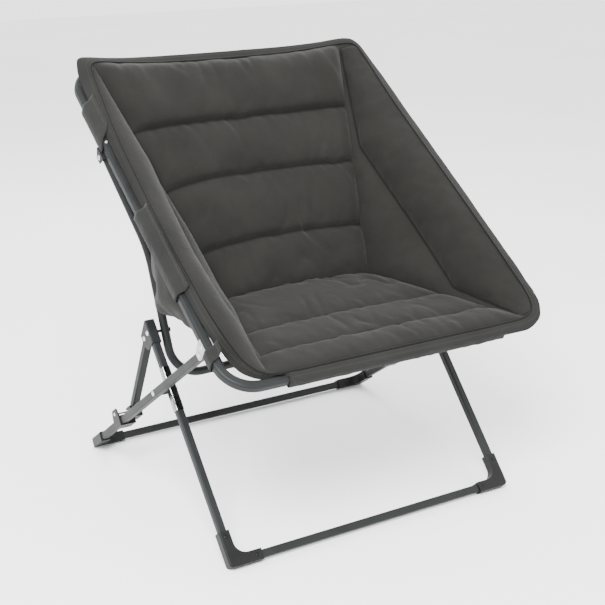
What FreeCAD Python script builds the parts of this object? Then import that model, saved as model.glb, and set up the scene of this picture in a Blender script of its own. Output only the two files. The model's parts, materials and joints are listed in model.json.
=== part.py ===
"""Folding camping chair with a padded bucket sling on a bent tube hoop.

The chair stands with its front towards -Y. Two leg frames cross like scissors, the rear legs carry
the seat hoop, a back frame ties the hoop to the tops of the front legs, and two struts with runners
on the rear legs brace the whole. The link lengths are chosen so that the four-bar of rear legs,
front legs, back frame and hoop folds flat. Millimetres, +Z up, origin on the floor under the middle.
"""
import FreeCAD
import Part
import Sketcher
import math
import os

V = FreeCAD.Vector

DIMENSIONS = (
    ("front_bar_setback", 289.7, "front floor bar, in front of the origin"),
    ("floor_bar_height", 12, "floor bars' centre above the floor"),
    ("front_leg_slope", 45.7, "front legs, degrees from the floor"),
    ("front_leg_lower", 369, "front floor bar to crossing"),
    ("front_leg_upper", 130, "crossing to top bracket rivet"),
    ("front_leg_top", 22, "front leg beyond its top bracket rivet"),
    ("front_leg_inset", 33, "front legs inside the rear legs, each side"),
    ("rear_leg_lower", 452, "rear floor bar to crossing"),
    ("rear_leg_upper", 281, "crossing to hoop hinge"),
    ("rear_leg_top", 6, "rear leg beyond the hoop hinge"),
    ("leg_tube", 16, "square leg tube, width"),
    ("leg_wall", 1.2, "leg tube wall"),
    ("leg_corner", 3, "leg tube outer corner radius"),
    ("hoop_width", 716, "hoop side tubes and rear legs, centre to centre"),
    ("hoop_length", 851, "hoop, front bar to top bar"),
    ("hoop_front_reach", 106, "hoop hinge to front bar, along the hoop"),
    ("hoop_link", 518, "hoop hinge to back frame pivot"),
    ("hoop_drop", 22, "hoop pivots below the hoop's centre line"),
    ("hoop_tube", 18, "square hoop tube, width"),
    ("hoop_wall", 1.2, "hoop tube wall"),
    ("hoop_corner", 5, "hoop tube outer corner radius"),
    ("hoop_bend", 62, "hoop bend, centre line radius"),
    ("hoop_split", 330, "joint of the two hoop tubes, from the front bar"),
    ("splice_length", 110, "inner splice tube"),
    ("back_tube", 18, "round back frame tube, diameter"),
    ("back_wall", 1.2, "back frame tube wall"),
    ("back_tube_end", 5, "back frame tube beyond its pivot"),
    ("back_knee_height", 168, "back frame knee above the lower pivot"),
    ("back_knee_inset", 56.5, "back frame's knee inside the hoop, each side"),
    ("back_knee_bend", 320, "back frame knee radius"),
    ("back_bar_drop", 98, "back frame crossbar below the lower pivot"),
    ("back_bar_inset", 65.5, "back frame's crossbar corner inside the hoop, each side"),
    ("back_bar_bend", 62, "back frame corner radius"),
    ("back_pivot_seat", 0.6, "lower pivot's head, off the round tube"),
    ("strut_length", 232, "strut, pivot to pivot"),
    ("strut_end", 9, "strut beyond its pivots"),
    ("strut_offset", 26, "strut pivot behind the front leg's centre line"),
    ("runner_pin_height", 19, "runner pin above the rear leg's centre line"),
    ("runner_length", 42, "runner along the rear leg"),
    ("runner_wall", 3, "runner plastic wall"),
    ("runner_lobe", 10, "runner lobe round the pin"),
    ("runner_play", 0.3, "runner to tube, each side"),
    ("runner_fork_low", 1, "underside of the runner's fork above the rear leg's centre line"),
    ("runner_fork_floor", 5, "floor of the runner's fork"),
    ("pin_diameter", 6, "rivets and pins"),
    ("pin_play", 0.05, "pin to hole, on the radius"),
    ("head_diameter", 11, "rivet heads"),
    ("head_height", 2.2, "rivet heads"),
    ("small_rivet", 4.5, "foot and runner rivets"),
    ("fit", 0.1, "tube in socket, each side"),
    ("turn_gap", 0.3, "faces that turn past each other"),
    ("plate", 2, "steel plate of hinges and brackets"),
    ("hinge_width", 26, "hoop hinge plate, width"),
    ("hinge_above", 6, "hoop hinge plate above the hoop's centre line"),
    ("hinge_below", 9, "hoop hinge plate below its pivot"),
    ("back_bracket_gap", 26, "back frame bracket, between its cheeks"),
    ("back_bracket_length", 34, "back frame bracket, along the hoop"),
    ("back_rivet_offset", 11, "back bracket's rivet, above its pivot along the hoop"),
    ("bracket_length", 52, "top bracket along the front leg"),
    ("bracket_below", 27, "top bracket below its rivet"),
    ("bracket_reach", 12, "top bracket behind the strut pivot"),
    ("sleeve_length", 96, "zinc sleeve at the crossing"),
    ("sleeve_wall", 1.2, "zinc sleeve wall"),
    ("bush_diameter", 14, "spacer bush at the crossing"),
    ("foot_size", 22, "corner foot, width of its arms"),
    ("foot_arm", 62, "corner foot, arm length from the corner"),
    ("foot_stop", 2, "solid stop at the inner end of a foot's socket"),
    ("foot_gusset", 24, "corner foot, hollow inner curve"),
    ("foot_corner", 9, "corner foot, outer corner radius"),
    ("foot_rivet_inset", 12, "foot rivet from the arm's end"),
    ("foot_edge", 3, "corner foot, edge rounding"),
    ("cloth", 1.8, "sleeve cloth"),
    ("cloth_ease", 0.4, "sleeve cloth round the tube"),
    ("cloth_gap", 0.4, "between sewn pieces"),
    ("sleeve_front_inset", 117, "front sleeve's end inside the hoop, each side"),
    ("sleeve_top_inset", 78, "top sleeve's end inside the hoop, each side"),
    ("sleeve_side_start", 222, "side sleeve, from the front bar"),
    ("sleeve_side_length", 218, "side sleeve"),
    ("strap_upper_gap", 1, "upper strap above the back frame's bracket"),
    ("strap_upper_end", 49, "upper strap's end below the hoop's bend"),
    ("strap_lower_gap", 3, "lower strap below the hoop's hinge plates"),
    ("strap_lower_length", 26, "lower strap"),
    ("top_edge_reach", 23, "sling's top edge beyond the top bar"),
    ("top_edge_rise", 20, "sling's top edge above the hoop's centre plane"),
    ("sling_corner_gap", 2, "sling rim inside the hoop's bends"),
    ("sling_rim_rise", 11, "sling rim's outer edge above the hoop's centre plane"),
    ("sling_rim_depth", 20, "sling rim's outer face, height"),
    ("sling_rim_taper", 9, "sling rim's outer face, drawn in at its foot"),
    ("rim_roll_width", 43, "padded roll inside the rim, width"),
    ("rim_roll_rise", 18, "padded roll's crest above the rim's outer edge"),
    ("rim_roll_crown", 5, "padded roll, rounding of its top"),
    ("rim_roll_chord", 150, "side panel height at which the roll is full"),
    ("side_seam_depth", 120, "side panel's seam below its rim"),
    ("sling_depth", 178, "crease below the hoop's centre plane"),
    ("crease_along", 336, "crease from the front bar, along the hoop"),
    ("crease_inset", 173, "crease's end inside the hoop, each side"),
    ("back_top_gap", 14, "top of the back panel below the top bar's centre line"),
    ("back_top_inset", 62, "back panel's top corner inside the hoop, each side"),
    ("seat_front_along", 33, "front of the seat panel, along the hoop"),
    ("seat_front_depth", 14, "front of the seat panel below the hoop plane"),
    ("seat_front_inset", 80, "seat panel's front corner inside the hoop, each side"),
    ("pad_seam", 12, "padding at a sewn channel"),
    ("pad_edge", 6, "padding at the panel's edge"),
    ("pad_shoulder", 55, "padding's rounded shoulder, inside the panel's edge"),
    ("back_crown", 36, "back padding between channels"),
    ("seat_crown", 36, "seat padding between channels"),
    ("side_crown", 14, "side padding, crown of each roll"),
    ("side_pad", 14, "side padding at its lower edge"),
    ("side_bulge", 26, "outer cloth hanging outside a straight line from rim to lower edge"),
)
BACK_CHANNELS = (0.0, 0.215, 0.5, 0.78, 1.0)
SEAT_CHANNELS = (0.0, 0.48, 0.79, 1.0)
SHOULDER_TURN = 0.4
SHOULDER_FULLNESS = 0.25
SIDE_SEAM_LIMIT = 0.85
SIDE_CROWN_LIMIT = 0.12
SIDE_STATIONS = 10
HEAD_FLAT = 0.5
HEAD_SHOULDER = 0.82
HEAD_SHOULDER_RISE = 0.65
HINGE_ROUNDING = 0.7

doc = FreeCAD.newDocument("camping_chair")
sheet = doc.addObject("Spreadsheet::Sheet", "Dims")
for row, (alias, value, meaning) in enumerate(DIMENSIONS, start=1):
    sheet.set(f"A{row}", meaning)
    sheet.set(f"B{row}", str(value))
    sheet.setAlias(f"B{row}", alias)
doc.recompute()

nodes = []


def dim(alias):
    """A driving dimension's value."""
    return float(sheet.get(alias))


def polar(length, slope):
    """A vector in the side view, slope in degrees up from +Y."""
    angle = math.radians(slope)
    return V(0, length * math.cos(angle), length * math.sin(angle))


def slope_of(vector):
    """Slope of a side-view vector, degrees up from +Y."""
    return math.degrees(math.atan2(vector.z, vector.y))


def upper_crossing(centre_a, radius_a, centre_b, radius_b):
    """The upper crossing of two circles in the side view, for the apex of two links."""
    between = centre_b - centre_a
    span = between.Length
    foot = (radius_a ** 2 - radius_b ** 2 + span ** 2) / (2 * span)
    rise = math.sqrt(radius_a ** 2 - foot ** 2)
    along = between / span
    return centre_a + along * foot + V(0, -along.z, along.y) * rise


# Linkage, in the side view

front_bar = V(0, -dim("front_bar_setback"), dim("floor_bar_height"))
front_slope = dim("front_leg_slope")
crossing = front_bar + polar(dim("front_leg_lower"), front_slope)
rear_slope = math.degrees(math.asin((crossing.z - dim("floor_bar_height")) / dim("rear_leg_lower")))
rear_bar = crossing + polar(dim("rear_leg_lower"), -rear_slope)
hoop_pivot = crossing - polar(dim("rear_leg_upper"), -rear_slope)
bracket_pivot = crossing + polar(dim("front_leg_upper"), front_slope)
back_link = dim("hoop_link") - dim("rear_leg_upper") + dim("front_leg_upper")
back_pivot = upper_crossing(hoop_pivot, dim("hoop_link"), bracket_pivot, back_link)
back_slope = slope_of(back_pivot - bracket_pivot)
hoop_slope = slope_of(back_pivot - hoop_pivot)
hoop_along = polar(1, hoop_slope)
hoop_normal = polar(1, hoop_slope + 90)
hoop_front = hoop_pivot - hoop_along * dim("hoop_front_reach") + hoop_normal * dim("hoop_drop")
strut_pivot = bracket_pivot + polar(dim("strut_offset"), front_slope - 90)


def runner_pin_place():
    """Runner pin, where the strut reaches the pin's line above the rear leg."""
    down = polar(1, -rear_slope)
    start = crossing + polar(dim("runner_pin_height"), 90 - rear_slope)
    back = start - strut_pivot
    middle = -back.dot(down)
    reach = math.sqrt(middle ** 2 - back.dot(back) + dim("strut_length") ** 2)
    return start + down * (middle + reach)


runner_pin = runner_pin_place()
hoop_side = dim("hoop_width") / 2
front_side = hoop_side - dim("front_leg_inset")
back_knee = hoop_side - dim("back_knee_inset")
back_low = hoop_side - dim("back_bar_inset")
back_top_along = dim("hoop_length") - dim("back_top_gap")
crease_width = 2 * (hoop_side - dim("crease_inset"))
back_top_width = 2 * (hoop_side - dim("back_top_inset"))
seat_front_width = 2 * (hoop_side - dim("seat_front_inset"))
back_pivot_side = back_low + (back_knee - back_low) * dim("back_bar_drop") / (
    dim("back_bar_drop") + dim("back_knee_height"))


def side_place(origin, slope, x=0.0):
    """Local X runs up the slope, local Z is square to it, local Y points to the left (-X)."""
    along = polar(1, slope)
    square = polar(1, slope + 90)
    turn = FreeCAD.Rotation(along, V(-1, 0, 0), square, "XYZ")
    return FreeCAD.Placement(V(x, origin.y, origin.z), turn)


rear_leg_place = side_place(crossing, -rear_slope, -hoop_side)
front_leg_place = side_place(crossing, front_slope, -front_side)
hoop_place = side_place(hoop_front, hoop_slope)
hoop_left_place = side_place(hoop_front, hoop_slope, -hoop_side)
back_place = side_place(bracket_pivot, back_slope)
runner_place = side_place(runner_pin - polar(dim("runner_pin_height"), 90 - rear_slope),
                          -rear_slope, -hoop_side)


# Building blocks

def node(obj, label):
    """Keep an object as a piece of the chair, under its own name."""
    obj.Label = label
    nodes.append(obj)
    return obj


def mirror(obj, name):
    """The right-hand twin of a left-hand piece."""
    twin = doc.addObject("Part::Mirroring", name)
    twin.Source = obj
    twin.Normal = V(1, 0, 0)
    return twin


def both_sides(obj, name):
    """A left-hand piece and its right-hand twin, as two nodes."""
    node(obj, name + "_left")
    node(mirror(obj, name + "_right_twin"), name + "_right")


def group(label, pieces):
    """Separate solids that share one node."""
    compound = doc.addObject("Part::Compound", label + "_group")
    compound.Links = pieces
    return node(compound, label)


def pair(label, *pieces):
    """Left-hand pieces and their twins, sharing one node."""
    twins = [mirror(piece, piece.Name + "_twin") for piece in pieces]
    return group(label, list(pieces) + twins)


def new_body(name, placement):
    body = doc.addObject("PartDesign::Body", name)
    body.Placement = placement
    return body


def sketch_on(body, role, shift_x="0", shift_y="0", shift_out="0"):
    """A sketch on one of the body's own planes, shifted in the plane and along its normal."""
    sketch = body.newObject("Sketcher::SketchObject", body.Name + "_sketch")
    plane = next(item for item in body.Origin.OriginFeatures if item.Role == role)
    sketch.AttachmentSupport = (plane, [""])
    sketch.MapMode = "FlatFace"
    sketch.setExpression("AttachmentOffset.Base.x", shift_x)
    sketch.setExpression("AttachmentOffset.Base.y", shift_y)
    sketch.setExpression("AttachmentOffset.Base.z", shift_out)
    return sketch


def bind(sketch, kind, *geometry, size):
    """A dimension of a sketch, tied to the sheet by an expression or set to a worked-out number."""
    if isinstance(size, str):
        index = sketch.addConstraint(Sketcher.Constraint(kind, *geometry, sketch.evalExpression(size)))
        sketch.setExpression(f"Constraints[{index}]", size)
    else:
        sketch.addConstraint(Sketcher.Constraint(kind, *geometry, size))


def measure(sketch, size):
    return sketch.evalExpression(size) if isinstance(size, str) else size


def circle(sketch, radius, x="0", y="0"):
    index = sketch.addGeometry(
        Part.Circle(V(measure(sketch, x), measure(sketch, y), 0), V(0, 0, 1), measure(sketch, radius)))
    bind(sketch, "Radius", index, size=radius)
    bind(sketch, "DistanceX", -1, 1, index, 3, size=x)
    bind(sketch, "DistanceY", -1, 1, index, 3, size=y)


def polygon(sketch, points):
    """A closed outline whose corners are given as expressions or numbers."""
    first = sketch.GeometryCount
    count = len(points)
    places = [V(measure(sketch, x), measure(sketch, y), 0) for x, y in points]
    for index in range(count):
        sketch.addGeometry(Part.LineSegment(places[index], places[(index + 1) % count]))
    for index, (x, y) in enumerate(points):
        line = first + index
        sketch.addConstraint(Sketcher.Constraint("Coincident", line, 2, first + (index + 1) % count, 1))
        bind(sketch, "DistanceX", -1, 1, line, 1, size=x)
        bind(sketch, "DistanceY", -1, 1, line, 1, size=y)


def rounded_square(sketch, half, radius):
    """A square with rounded corners about the sketch's origin."""
    first = sketch.GeometryCount
    edge = measure(sketch, half)
    bend = measure(sketch, radius)
    flat = edge - bend
    corners = ((-flat, -edge), (flat, -edge), (edge, -flat), (edge, flat),
               (flat, edge), (-flat, edge), (-edge, flat), (-edge, -flat))
    for start in range(0, 8, 2):
        sketch.addGeometry(Part.LineSegment(V(*corners[start]), V(*corners[start + 1])))
    for turn, (x, y) in enumerate(((flat, -flat), (flat, flat), (-flat, flat), (-flat, -flat))):
        begin = math.radians(90 * (turn - 1))
        arc = Part.ArcOfCircle(Part.Circle(V(x, y, 0), V(0, 0, 1), bend), begin, begin + math.pi / 2)
        sketch.addGeometry(arc)
    for side in range(4):
        line, arc = first + side, first + 4 + side
        sketch.addConstraint(Sketcher.Constraint("Tangent", line, 2, arc, 1))
        sketch.addConstraint(Sketcher.Constraint("Tangent", arc, 2, first + (side + 1) % 4, 1))
        sketch.addConstraint(Sketcher.Constraint("Vertical" if side % 2 else "Horizontal", line))
    for arc in (5, 6, 7):
        sketch.addConstraint(Sketcher.Constraint("Equal", first + 4, first + arc))
    bind(sketch, "Radius", first + 4, size=radius)
    bind(sketch, "DistanceY", first, 1, -1, 1, size=half)
    bind(sketch, "DistanceX", -1, 1, first + 1, 1, size=half)
    bind(sketch, "DistanceY", -1, 1, first + 2, 1, size=half)
    bind(sketch, "DistanceX", first + 3, 1, -1, 1, size=half)


def pad(body, sketch, length, back_length=None, symmetric=False):
    feature = body.newObject("PartDesign::Pad", body.Name + "_pad")
    feature.Profile = sketch
    feature.setExpression("Length", length)
    if back_length:
        feature.SideType = "Two sides"
        feature.setExpression("Length2", back_length)
    if symmetric:
        feature.SideType = "Symmetric"
    return feature


def pocket(body, sketch, reversed_way=False, symmetric=True):
    """A cut right through; one that takes nothing away is an error."""
    doc.recompute()
    before = body.Shape.Volume
    feature = body.newObject("PartDesign::Pocket", body.Name + "_pocket")
    feature.Profile = sketch
    feature.Type = "ThroughAll"
    if symmetric:
        feature.SideType = "Symmetric"
    feature.Reversed = reversed_way
    doc.recompute()
    if body.Shape.Volume > before - 0.01:
        raise RuntimeError(f"{body.Name}: a pocket cuts nothing")
    return feature


def edges_through(body, direction, points):
    """Names of the straight edges along a direction that pass through the given points."""
    doc.recompute()
    shape = body.Tip.Shape
    names = []
    for index, edge in enumerate(shape.Edges, start=1):
        if not isinstance(edge.Curve, Part.Line):
            continue
        if edge.Curve.Direction.cross(direction).Length > 1e-6:
            continue
        start = edge.Vertexes[0].Point
        if any((start - point).cross(direction).Length < 1e-3 for point in points):
            names.append(f"Edge{index}")
    if len(names) < len(points):
        raise RuntimeError(f"{body.Name}: an edge to round is missing")
    return names


def fillet(body, names, radius):
    rounded = body.Tip
    feature = body.newObject("PartDesign::Fillet", body.Name + "_fillet")
    feature.Base = (rounded, names)
    feature.setExpression("Radius", radius)
    doc.recompute()


def square_tube(name, placement, size, wall, corner, length, back_length):
    """A hollow square tube along local X, from -back_length to length."""
    body = new_body(name, placement)
    profile = sketch_on(body, "YZ_Plane")
    rounded_square(profile, f"{size}/2", corner)
    rounded_square(profile, f"{size}/2-{wall}", f"{corner}-{wall}")
    pad(body, profile, length, back_length)
    return body


def leg_tube(name, placement, length, back_length):
    return square_tube(name, placement, "Dims.leg_tube", "Dims.leg_wall", "Dims.leg_corner", length,
                       back_length)


def cross_holes(body, radius, places):
    """Round holes across the body, along local Y, at (x, z) places."""
    sketch = sketch_on(body, "XZ_Plane")
    for x, z in places:
        circle(sketch, radius, x, z)
    pocket(body, sketch)


def bush(name, placement, outer, inner, length):
    """A plain round bush along local Z."""
    body = new_body(name, placement)
    sketch = sketch_on(body, "XY_Plane")
    circle(sketch, outer)
    circle(sketch, inner)
    pad(body, sketch, length)
    return body


def rivet(name, placement, diameter, grip, far_head=True):
    """A rivet along local X: its head before 0, its shank to grip, and a second head beyond."""
    shank = f"{diameter}/2"
    head = f"{diameter}*Dims.head_diameter/Dims.pin_diameter/2"
    high = f"{diameter}*Dims.head_height/Dims.pin_diameter"
    flat = f"{HEAD_FLAT}*{head}"
    shoulder = f"{HEAD_SHOULDER}*{head}"
    rise = f"{HEAD_SHOULDER_RISE}*{high}"
    points = [("-" + high, "0"), ("-" + high, flat), ("-" + rise, shoulder), ("0", head), ("0", shank),
              (grip, shank)]
    if far_head:
        points += [(grip, head), (f"{grip}+{rise}", shoulder), (f"{grip}+{high}", flat),
                   (f"{grip}+{high}", "0")]
    else:
        points += [(grip, "0")]
    body = new_body(name, placement)
    sketch = sketch_on(body, "XY_Plane")
    polygon(sketch, points)
    turn = body.newObject("PartDesign::Revolution", name + "_turn")
    turn.Profile = sketch
    turn.ReferenceAxis = (sketch, ["H_Axis"])
    turn.Angle = 360
    return body


def across(point, x):
    """Local X runs across the chair towards +X, from a point of the side view."""
    return FreeCAD.Placement(V(x, point.y, point.z), FreeCAD.Rotation())


def upright(point, x):
    """Local Z runs across the chair towards +X, from a point of the side view."""
    return FreeCAD.Placement(V(x, point.y, point.z), FreeCAD.Rotation(V(0, 1, 0), 90))


PIN_HOLE = "Dims.pin_diameter/2+Dims.pin_play"
SMALL_HOLE = "Dims.small_rivet/2+Dims.pin_play"
TUBE_TO_CORNER = "Dims.leg_tube/2-Dims.foot_stop"


# Feet, legs and floor bars

def corner_foot(name, placement):
    """A moulded elbow that joins a leg (along X) to a floor bar (along -Y) and stands on the floor."""
    body = new_body(name, placement)
    half = "Dims.foot_size/2"
    arm = "Dims.foot_arm"
    outline = sketch_on(body, "XY_Plane")
    polygon(outline, [(arm, half), ("-" + half, half), ("-" + half, "-" + arm), (half, "-" + arm),
                      (half, "-" + half), (arm, "-" + half)])
    pad(body, outline, "Dims.foot_size", symmetric=True)
    size = dim("foot_size") / 2
    fillet(body, edges_through(body, V(0, 0, 1), [V(size, -size, 0)]), "Dims.foot_gusset")
    fillet(body, edges_through(body, V(0, 0, 1), [V(-size, size, 0)]), "Dims.foot_corner")
    fillet(body, edges_through(body, V(1, 0, 0), [V(0, size, size)]), "Dims.foot_edge")
    socket = "Dims.leg_tube/2+Dims.fit"
    start = "Dims.leg_tube/2+Dims.foot_stop"
    leg_socket = sketch_on(body, "YZ_Plane", shift_out=start)
    rounded_square(leg_socket, socket, "Dims.leg_corner")
    pocket(body, leg_socket, reversed_way=True, symmetric=False)
    bar_socket = sketch_on(body, "XZ_Plane", shift_out=start)
    rounded_square(bar_socket, socket, "Dims.leg_corner")
    pocket(body, bar_socket, reversed_way=True, symmetric=False)
    rivet_holes = sketch_on(body, "XY_Plane")
    inset = "Dims.foot_arm-Dims.foot_rivet_inset"
    circle(rivet_holes, SMALL_HOLE, inset, "0")
    circle(rivet_holes, SMALL_HOLE, "0", f"-({inset})")
    pocket(body, rivet_holes, reversed_way=True, symmetric=False)
    into_body = placement.Rotation.inverted()
    along = into_body.multVec(V(0, 1, 0))
    down = into_body.multVec(V(0, 0, -1))
    floor = down * dim("floor_bar_height")
    reach = 2 * dim("foot_arm")
    corners = (floor + along * reach, floor - along * reach,
               floor + (down - along) * reach, floor + (down + along) * reach)
    floor_cut = sketch_on(body, "XZ_Plane")
    polygon(floor_cut, [(corner.x, corner.z) for corner in corners])
    pocket(body, floor_cut)
    return body


def foot_rivets(name, placement):
    """Two rivets that hold the tubes in a foot, heads on its upper face."""
    inset = dim("foot_arm") - dim("foot_rivet_inset")
    top = dim("foot_size") / 2
    grip = "Dims.foot_size/2-Dims.leg_tube/2-Dims.fit"
    facing_down = FreeCAD.Rotation(V(0, 1, 0), 90)
    places = (V(inset, 0, top), V(0, -inset, top))
    return [rivet(f"{name}_{index}", placement * FreeCAD.Placement(place, facing_down), "Dims.small_rivet",
                  grip, far_head=False) for index, place in enumerate(places)]


def floor_bar(name, corner, slope, spacing):
    """A floor bar between two feet, its section turned with the leg frame."""
    placement = side_place(corner, slope)
    body = new_body(name, placement)
    profile = sketch_on(body, "XZ_Plane")
    rounded_square(profile, "Dims.leg_tube/2", "Dims.leg_corner")
    rounded_square(profile, "Dims.leg_tube/2-Dims.leg_wall", "Dims.leg_corner-Dims.leg_wall")
    pad(body, profile, f"{spacing}-Dims.leg_tube-2*Dims.foot_stop", symmetric=True)
    return node(body, name)


def rear_leg_frame():
    leg = leg_tube("rear_leg_left", rear_leg_place,
                   f"Dims.rear_leg_lower-({TUBE_TO_CORNER})-2*Dims.foot_stop",
                   "Dims.rear_leg_upper+Dims.rear_leg_top")
    cross_holes(leg, PIN_HOLE, [("0", "0"), ("-Dims.rear_leg_upper", "0")])
    both_sides(leg, "rear_leg")
    floor_bar("rear_floor_bar", rear_bar, 180 - rear_slope, "Dims.hoop_width")
    up_front = polar(1, 180 - rear_slope)
    up_back = polar(1, 90 - rear_slope)
    corner = FreeCAD.Placement(V(hoop_side, rear_bar.y, rear_bar.z),
                               FreeCAD.Rotation(up_front, V(1, 0, 0), up_back, "XYZ"))
    foot = node(corner_foot("rear_foot_right", corner), "rear_foot_right")
    node(mirror(foot, "rear_foot_left_twin"), "rear_foot_left")
    pair("rear_foot_rivets", *foot_rivets("rear_foot_rivet", corner))
    between = "Dims.front_leg_inset"
    sleeve = "Dims.leg_tube+Dims.sleeve_wall+Dims.fit+Dims.turn_gap"
    spacer = bush("crossing_spacer", upright(crossing, -hoop_side + dim("leg_tube") / 2),
                  "Dims.bush_diameter/2", PIN_HOLE, f"{between}-({sleeve})")
    pair("crossing_spacers", spacer)
    pin = rivet("crossing_pin", across(crossing, -hoop_side - dim("leg_tube") / 2), "Dims.pin_diameter",
                f"{between}+{sleeve}")
    pair("crossing_pins", pin)


def front_leg_frame():
    leg = leg_tube("front_leg_left", front_leg_place, "Dims.front_leg_upper+Dims.front_leg_top",
                   f"Dims.front_leg_lower-({TUBE_TO_CORNER})-2*Dims.foot_stop")
    cross_holes(leg, PIN_HOLE, [("0", "0"), ("Dims.front_leg_upper", "0")])
    both_sides(leg, "front_leg")
    floor_bar("front_floor_bar", front_bar, front_slope, "(Dims.hoop_width-2*Dims.front_leg_inset)")
    corner = side_place(front_bar, front_slope, -front_side)
    both_sides(corner_foot("front_foot_left", corner), "front_foot")
    pair("front_foot_rivets", *foot_rivets("front_foot_rivet", corner))
    sleeve = square_tube("crossing_sleeve_left", front_leg_place,
                         "(Dims.leg_tube+2*Dims.sleeve_wall+2*Dims.fit)", "Dims.sleeve_wall",
                         "(Dims.leg_corner+Dims.sleeve_wall)", "Dims.sleeve_length/2",
                         "Dims.sleeve_length/2")
    cross_holes(sleeve, PIN_HOLE, [("0", "0")])
    both_sides(sleeve, "crossing_sleeve")
    both_sides(top_bracket(), "top_bracket")
    cheek = dim("leg_tube") / 2 + dim("turn_gap") + dim("plate")
    grip = "Dims.leg_tube+2*Dims.turn_gap+2*Dims.plate"
    outside = -front_side - cheek
    pair("bracket_rivets", rivet("bracket_rivet", across(bracket_pivot, outside), "Dims.pin_diameter", grip))
    pair("strut_pins", rivet("strut_pin", across(strut_pivot, outside), "Dims.pin_diameter", grip))


def top_bracket():
    """A steel channel over the front leg's top, whose cheeks reach back round the strut's end."""
    body = new_body("top_bracket_left", front_leg_place)
    low = "Dims.front_leg_upper-Dims.bracket_below"
    high = f"{low}+Dims.bracket_length"
    front = "Dims.leg_tube/2+Dims.turn_gap+Dims.plate"
    rear = "-(Dims.strut_offset+Dims.bracket_reach)"
    outline = sketch_on(body, "XZ_Plane")
    polygon(outline, [(low, front), (high, front), (high, "Dims.leg_tube/4"),
                      ("Dims.front_leg_upper+Dims.bracket_reach", rear),
                      ("Dims.front_leg_upper-Dims.bracket_reach", rear), (low, "-Dims.strut_offset")])
    pad(body, outline, "Dims.leg_tube+2*Dims.turn_gap+2*Dims.plate", symmetric=True)
    web = dim("leg_tube") / 2 + dim("turn_gap") + dim("plate")
    round_edges = edges_through(body, V(1, 0, 0), [V(0, web, web), V(0, -web, web)])
    fillet(body, round_edges, "Dims.plate")
    channel = sketch_on(body, "YZ_Plane")
    inner = "Dims.leg_tube/2+Dims.turn_gap"
    deep = f"{rear}-Dims.bracket_reach"
    polygon(channel, [("-(%s)" % inner, inner), (inner, inner), (inner, deep), ("-(%s)" % inner, deep)])
    pocket(body, channel)
    pins = [("Dims.front_leg_upper", "0"), ("Dims.front_leg_upper", "-Dims.strut_offset")]
    cross_holes(body, PIN_HOLE, pins)
    return body


def struts():
    strut_slope = slope_of(runner_pin - strut_pivot)
    place = side_place(strut_pivot, strut_slope, -front_side)
    strut = leg_tube("strut_left", place, "Dims.strut_length+Dims.strut_end", "Dims.strut_end")
    cross_holes(strut, PIN_HOLE, [("0", "0")])
    both_sides(strut, "strut")


# Runners on the rear legs

def runner():
    """A moulded runner: a collar on the rear leg, an outer lobe plate and a fork for the strut."""
    body = new_body("runner_left", runner_place)
    half = "Dims.runner_length/2"
    collar = "(Dims.leg_tube/2+Dims.runner_play+Dims.runner_wall)"
    top = "Dims.runner_pin_height+Dims.runner_lobe"
    lean = "Dims.runner_lobe+Dims.runner_wall"
    outline = sketch_on(body, "XZ_Plane", shift_out=f"-{collar}")
    polygon(outline, [("-" + half, "-" + collar), (half, "-" + collar), (half, collar), (lean, top),
                      (f"-({lean})", top), ("-" + half, collar)])
    strut_side = "Dims.front_leg_inset"
    slot_near = f"{strut_side}-Dims.leg_tube/2-Dims.turn_gap"
    slot_far = f"{strut_side}+Dims.leg_tube/2+Dims.turn_gap"
    pad(body, outline, f"{collar}+{slot_far}+Dims.runner_wall")
    tunnel = sketch_on(body, "YZ_Plane")
    rounded_square(tunnel, "Dims.leg_tube/2+Dims.runner_play", "Dims.leg_corner")
    pocket(body, tunnel)
    slot = sketch_on(body, "YZ_Plane")
    deep = "Dims.runner_fork_low+Dims.runner_fork_floor"
    over = f"{top}+Dims.runner_wall"
    polygon(slot, [(f"-({slot_far})", deep), (f"-({slot_near})", deep), (f"-({slot_near})", over),
                   (f"-({slot_far})", over)])
    pocket(body, slot)
    under_fork = sketch_on(body, "YZ_Plane")
    past = f"-({slot_far}+2*Dims.runner_wall)"
    below = f"-{collar}-Dims.runner_wall"
    polygon(under_fork, [(past, below), (f"-({slot_near})", below),
                         (f"-({slot_near})", "Dims.runner_fork_low"), (past, "Dims.runner_fork_low")])
    pocket(body, under_fork)
    hollow = sketch_on(body, "YZ_Plane")
    outer = "Dims.leg_tube/2+Dims.runner_play"
    inner = f"-({slot_near}-Dims.runner_wall)"
    polygon(hollow, [(inner, collar), (outer, collar), (outer, over), (inner, over)])
    pocket(body, hollow)
    cross_holes(body, SMALL_HOLE, [("0", "Dims.runner_pin_height")])
    return body


def runners():
    both_sides(runner(), "runner")
    collar = dim("leg_tube") / 2 + dim("runner_play") + dim("runner_wall")
    strut_side = dim("front_leg_inset")
    slot_far = strut_side + dim("leg_tube") / 2 + dim("turn_gap")
    near_grip = ("Dims.front_leg_inset-Dims.leg_tube/2-Dims.turn_gap"
                 "+Dims.leg_tube/2+Dims.runner_play+Dims.runner_wall")
    outer_face = across(runner_pin, -hoop_side - collar)
    outer = rivet("runner_outer_rivet", outer_face, "Dims.small_rivet", near_grip, far_head=False)
    fork_face = V(-hoop_side + slot_far + dim("runner_wall"), runner_pin.y, runner_pin.z)
    facing_left = FreeCAD.Placement(fork_face, FreeCAD.Rotation(V(0, 0, 1), 180))
    inner = rivet("runner_inner_rivet", facing_left, "Dims.small_rivet", "Dims.runner_wall", far_head=False)
    pair("runner_rivets", outer, inner)


# Seat hoop and its hinges

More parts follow.
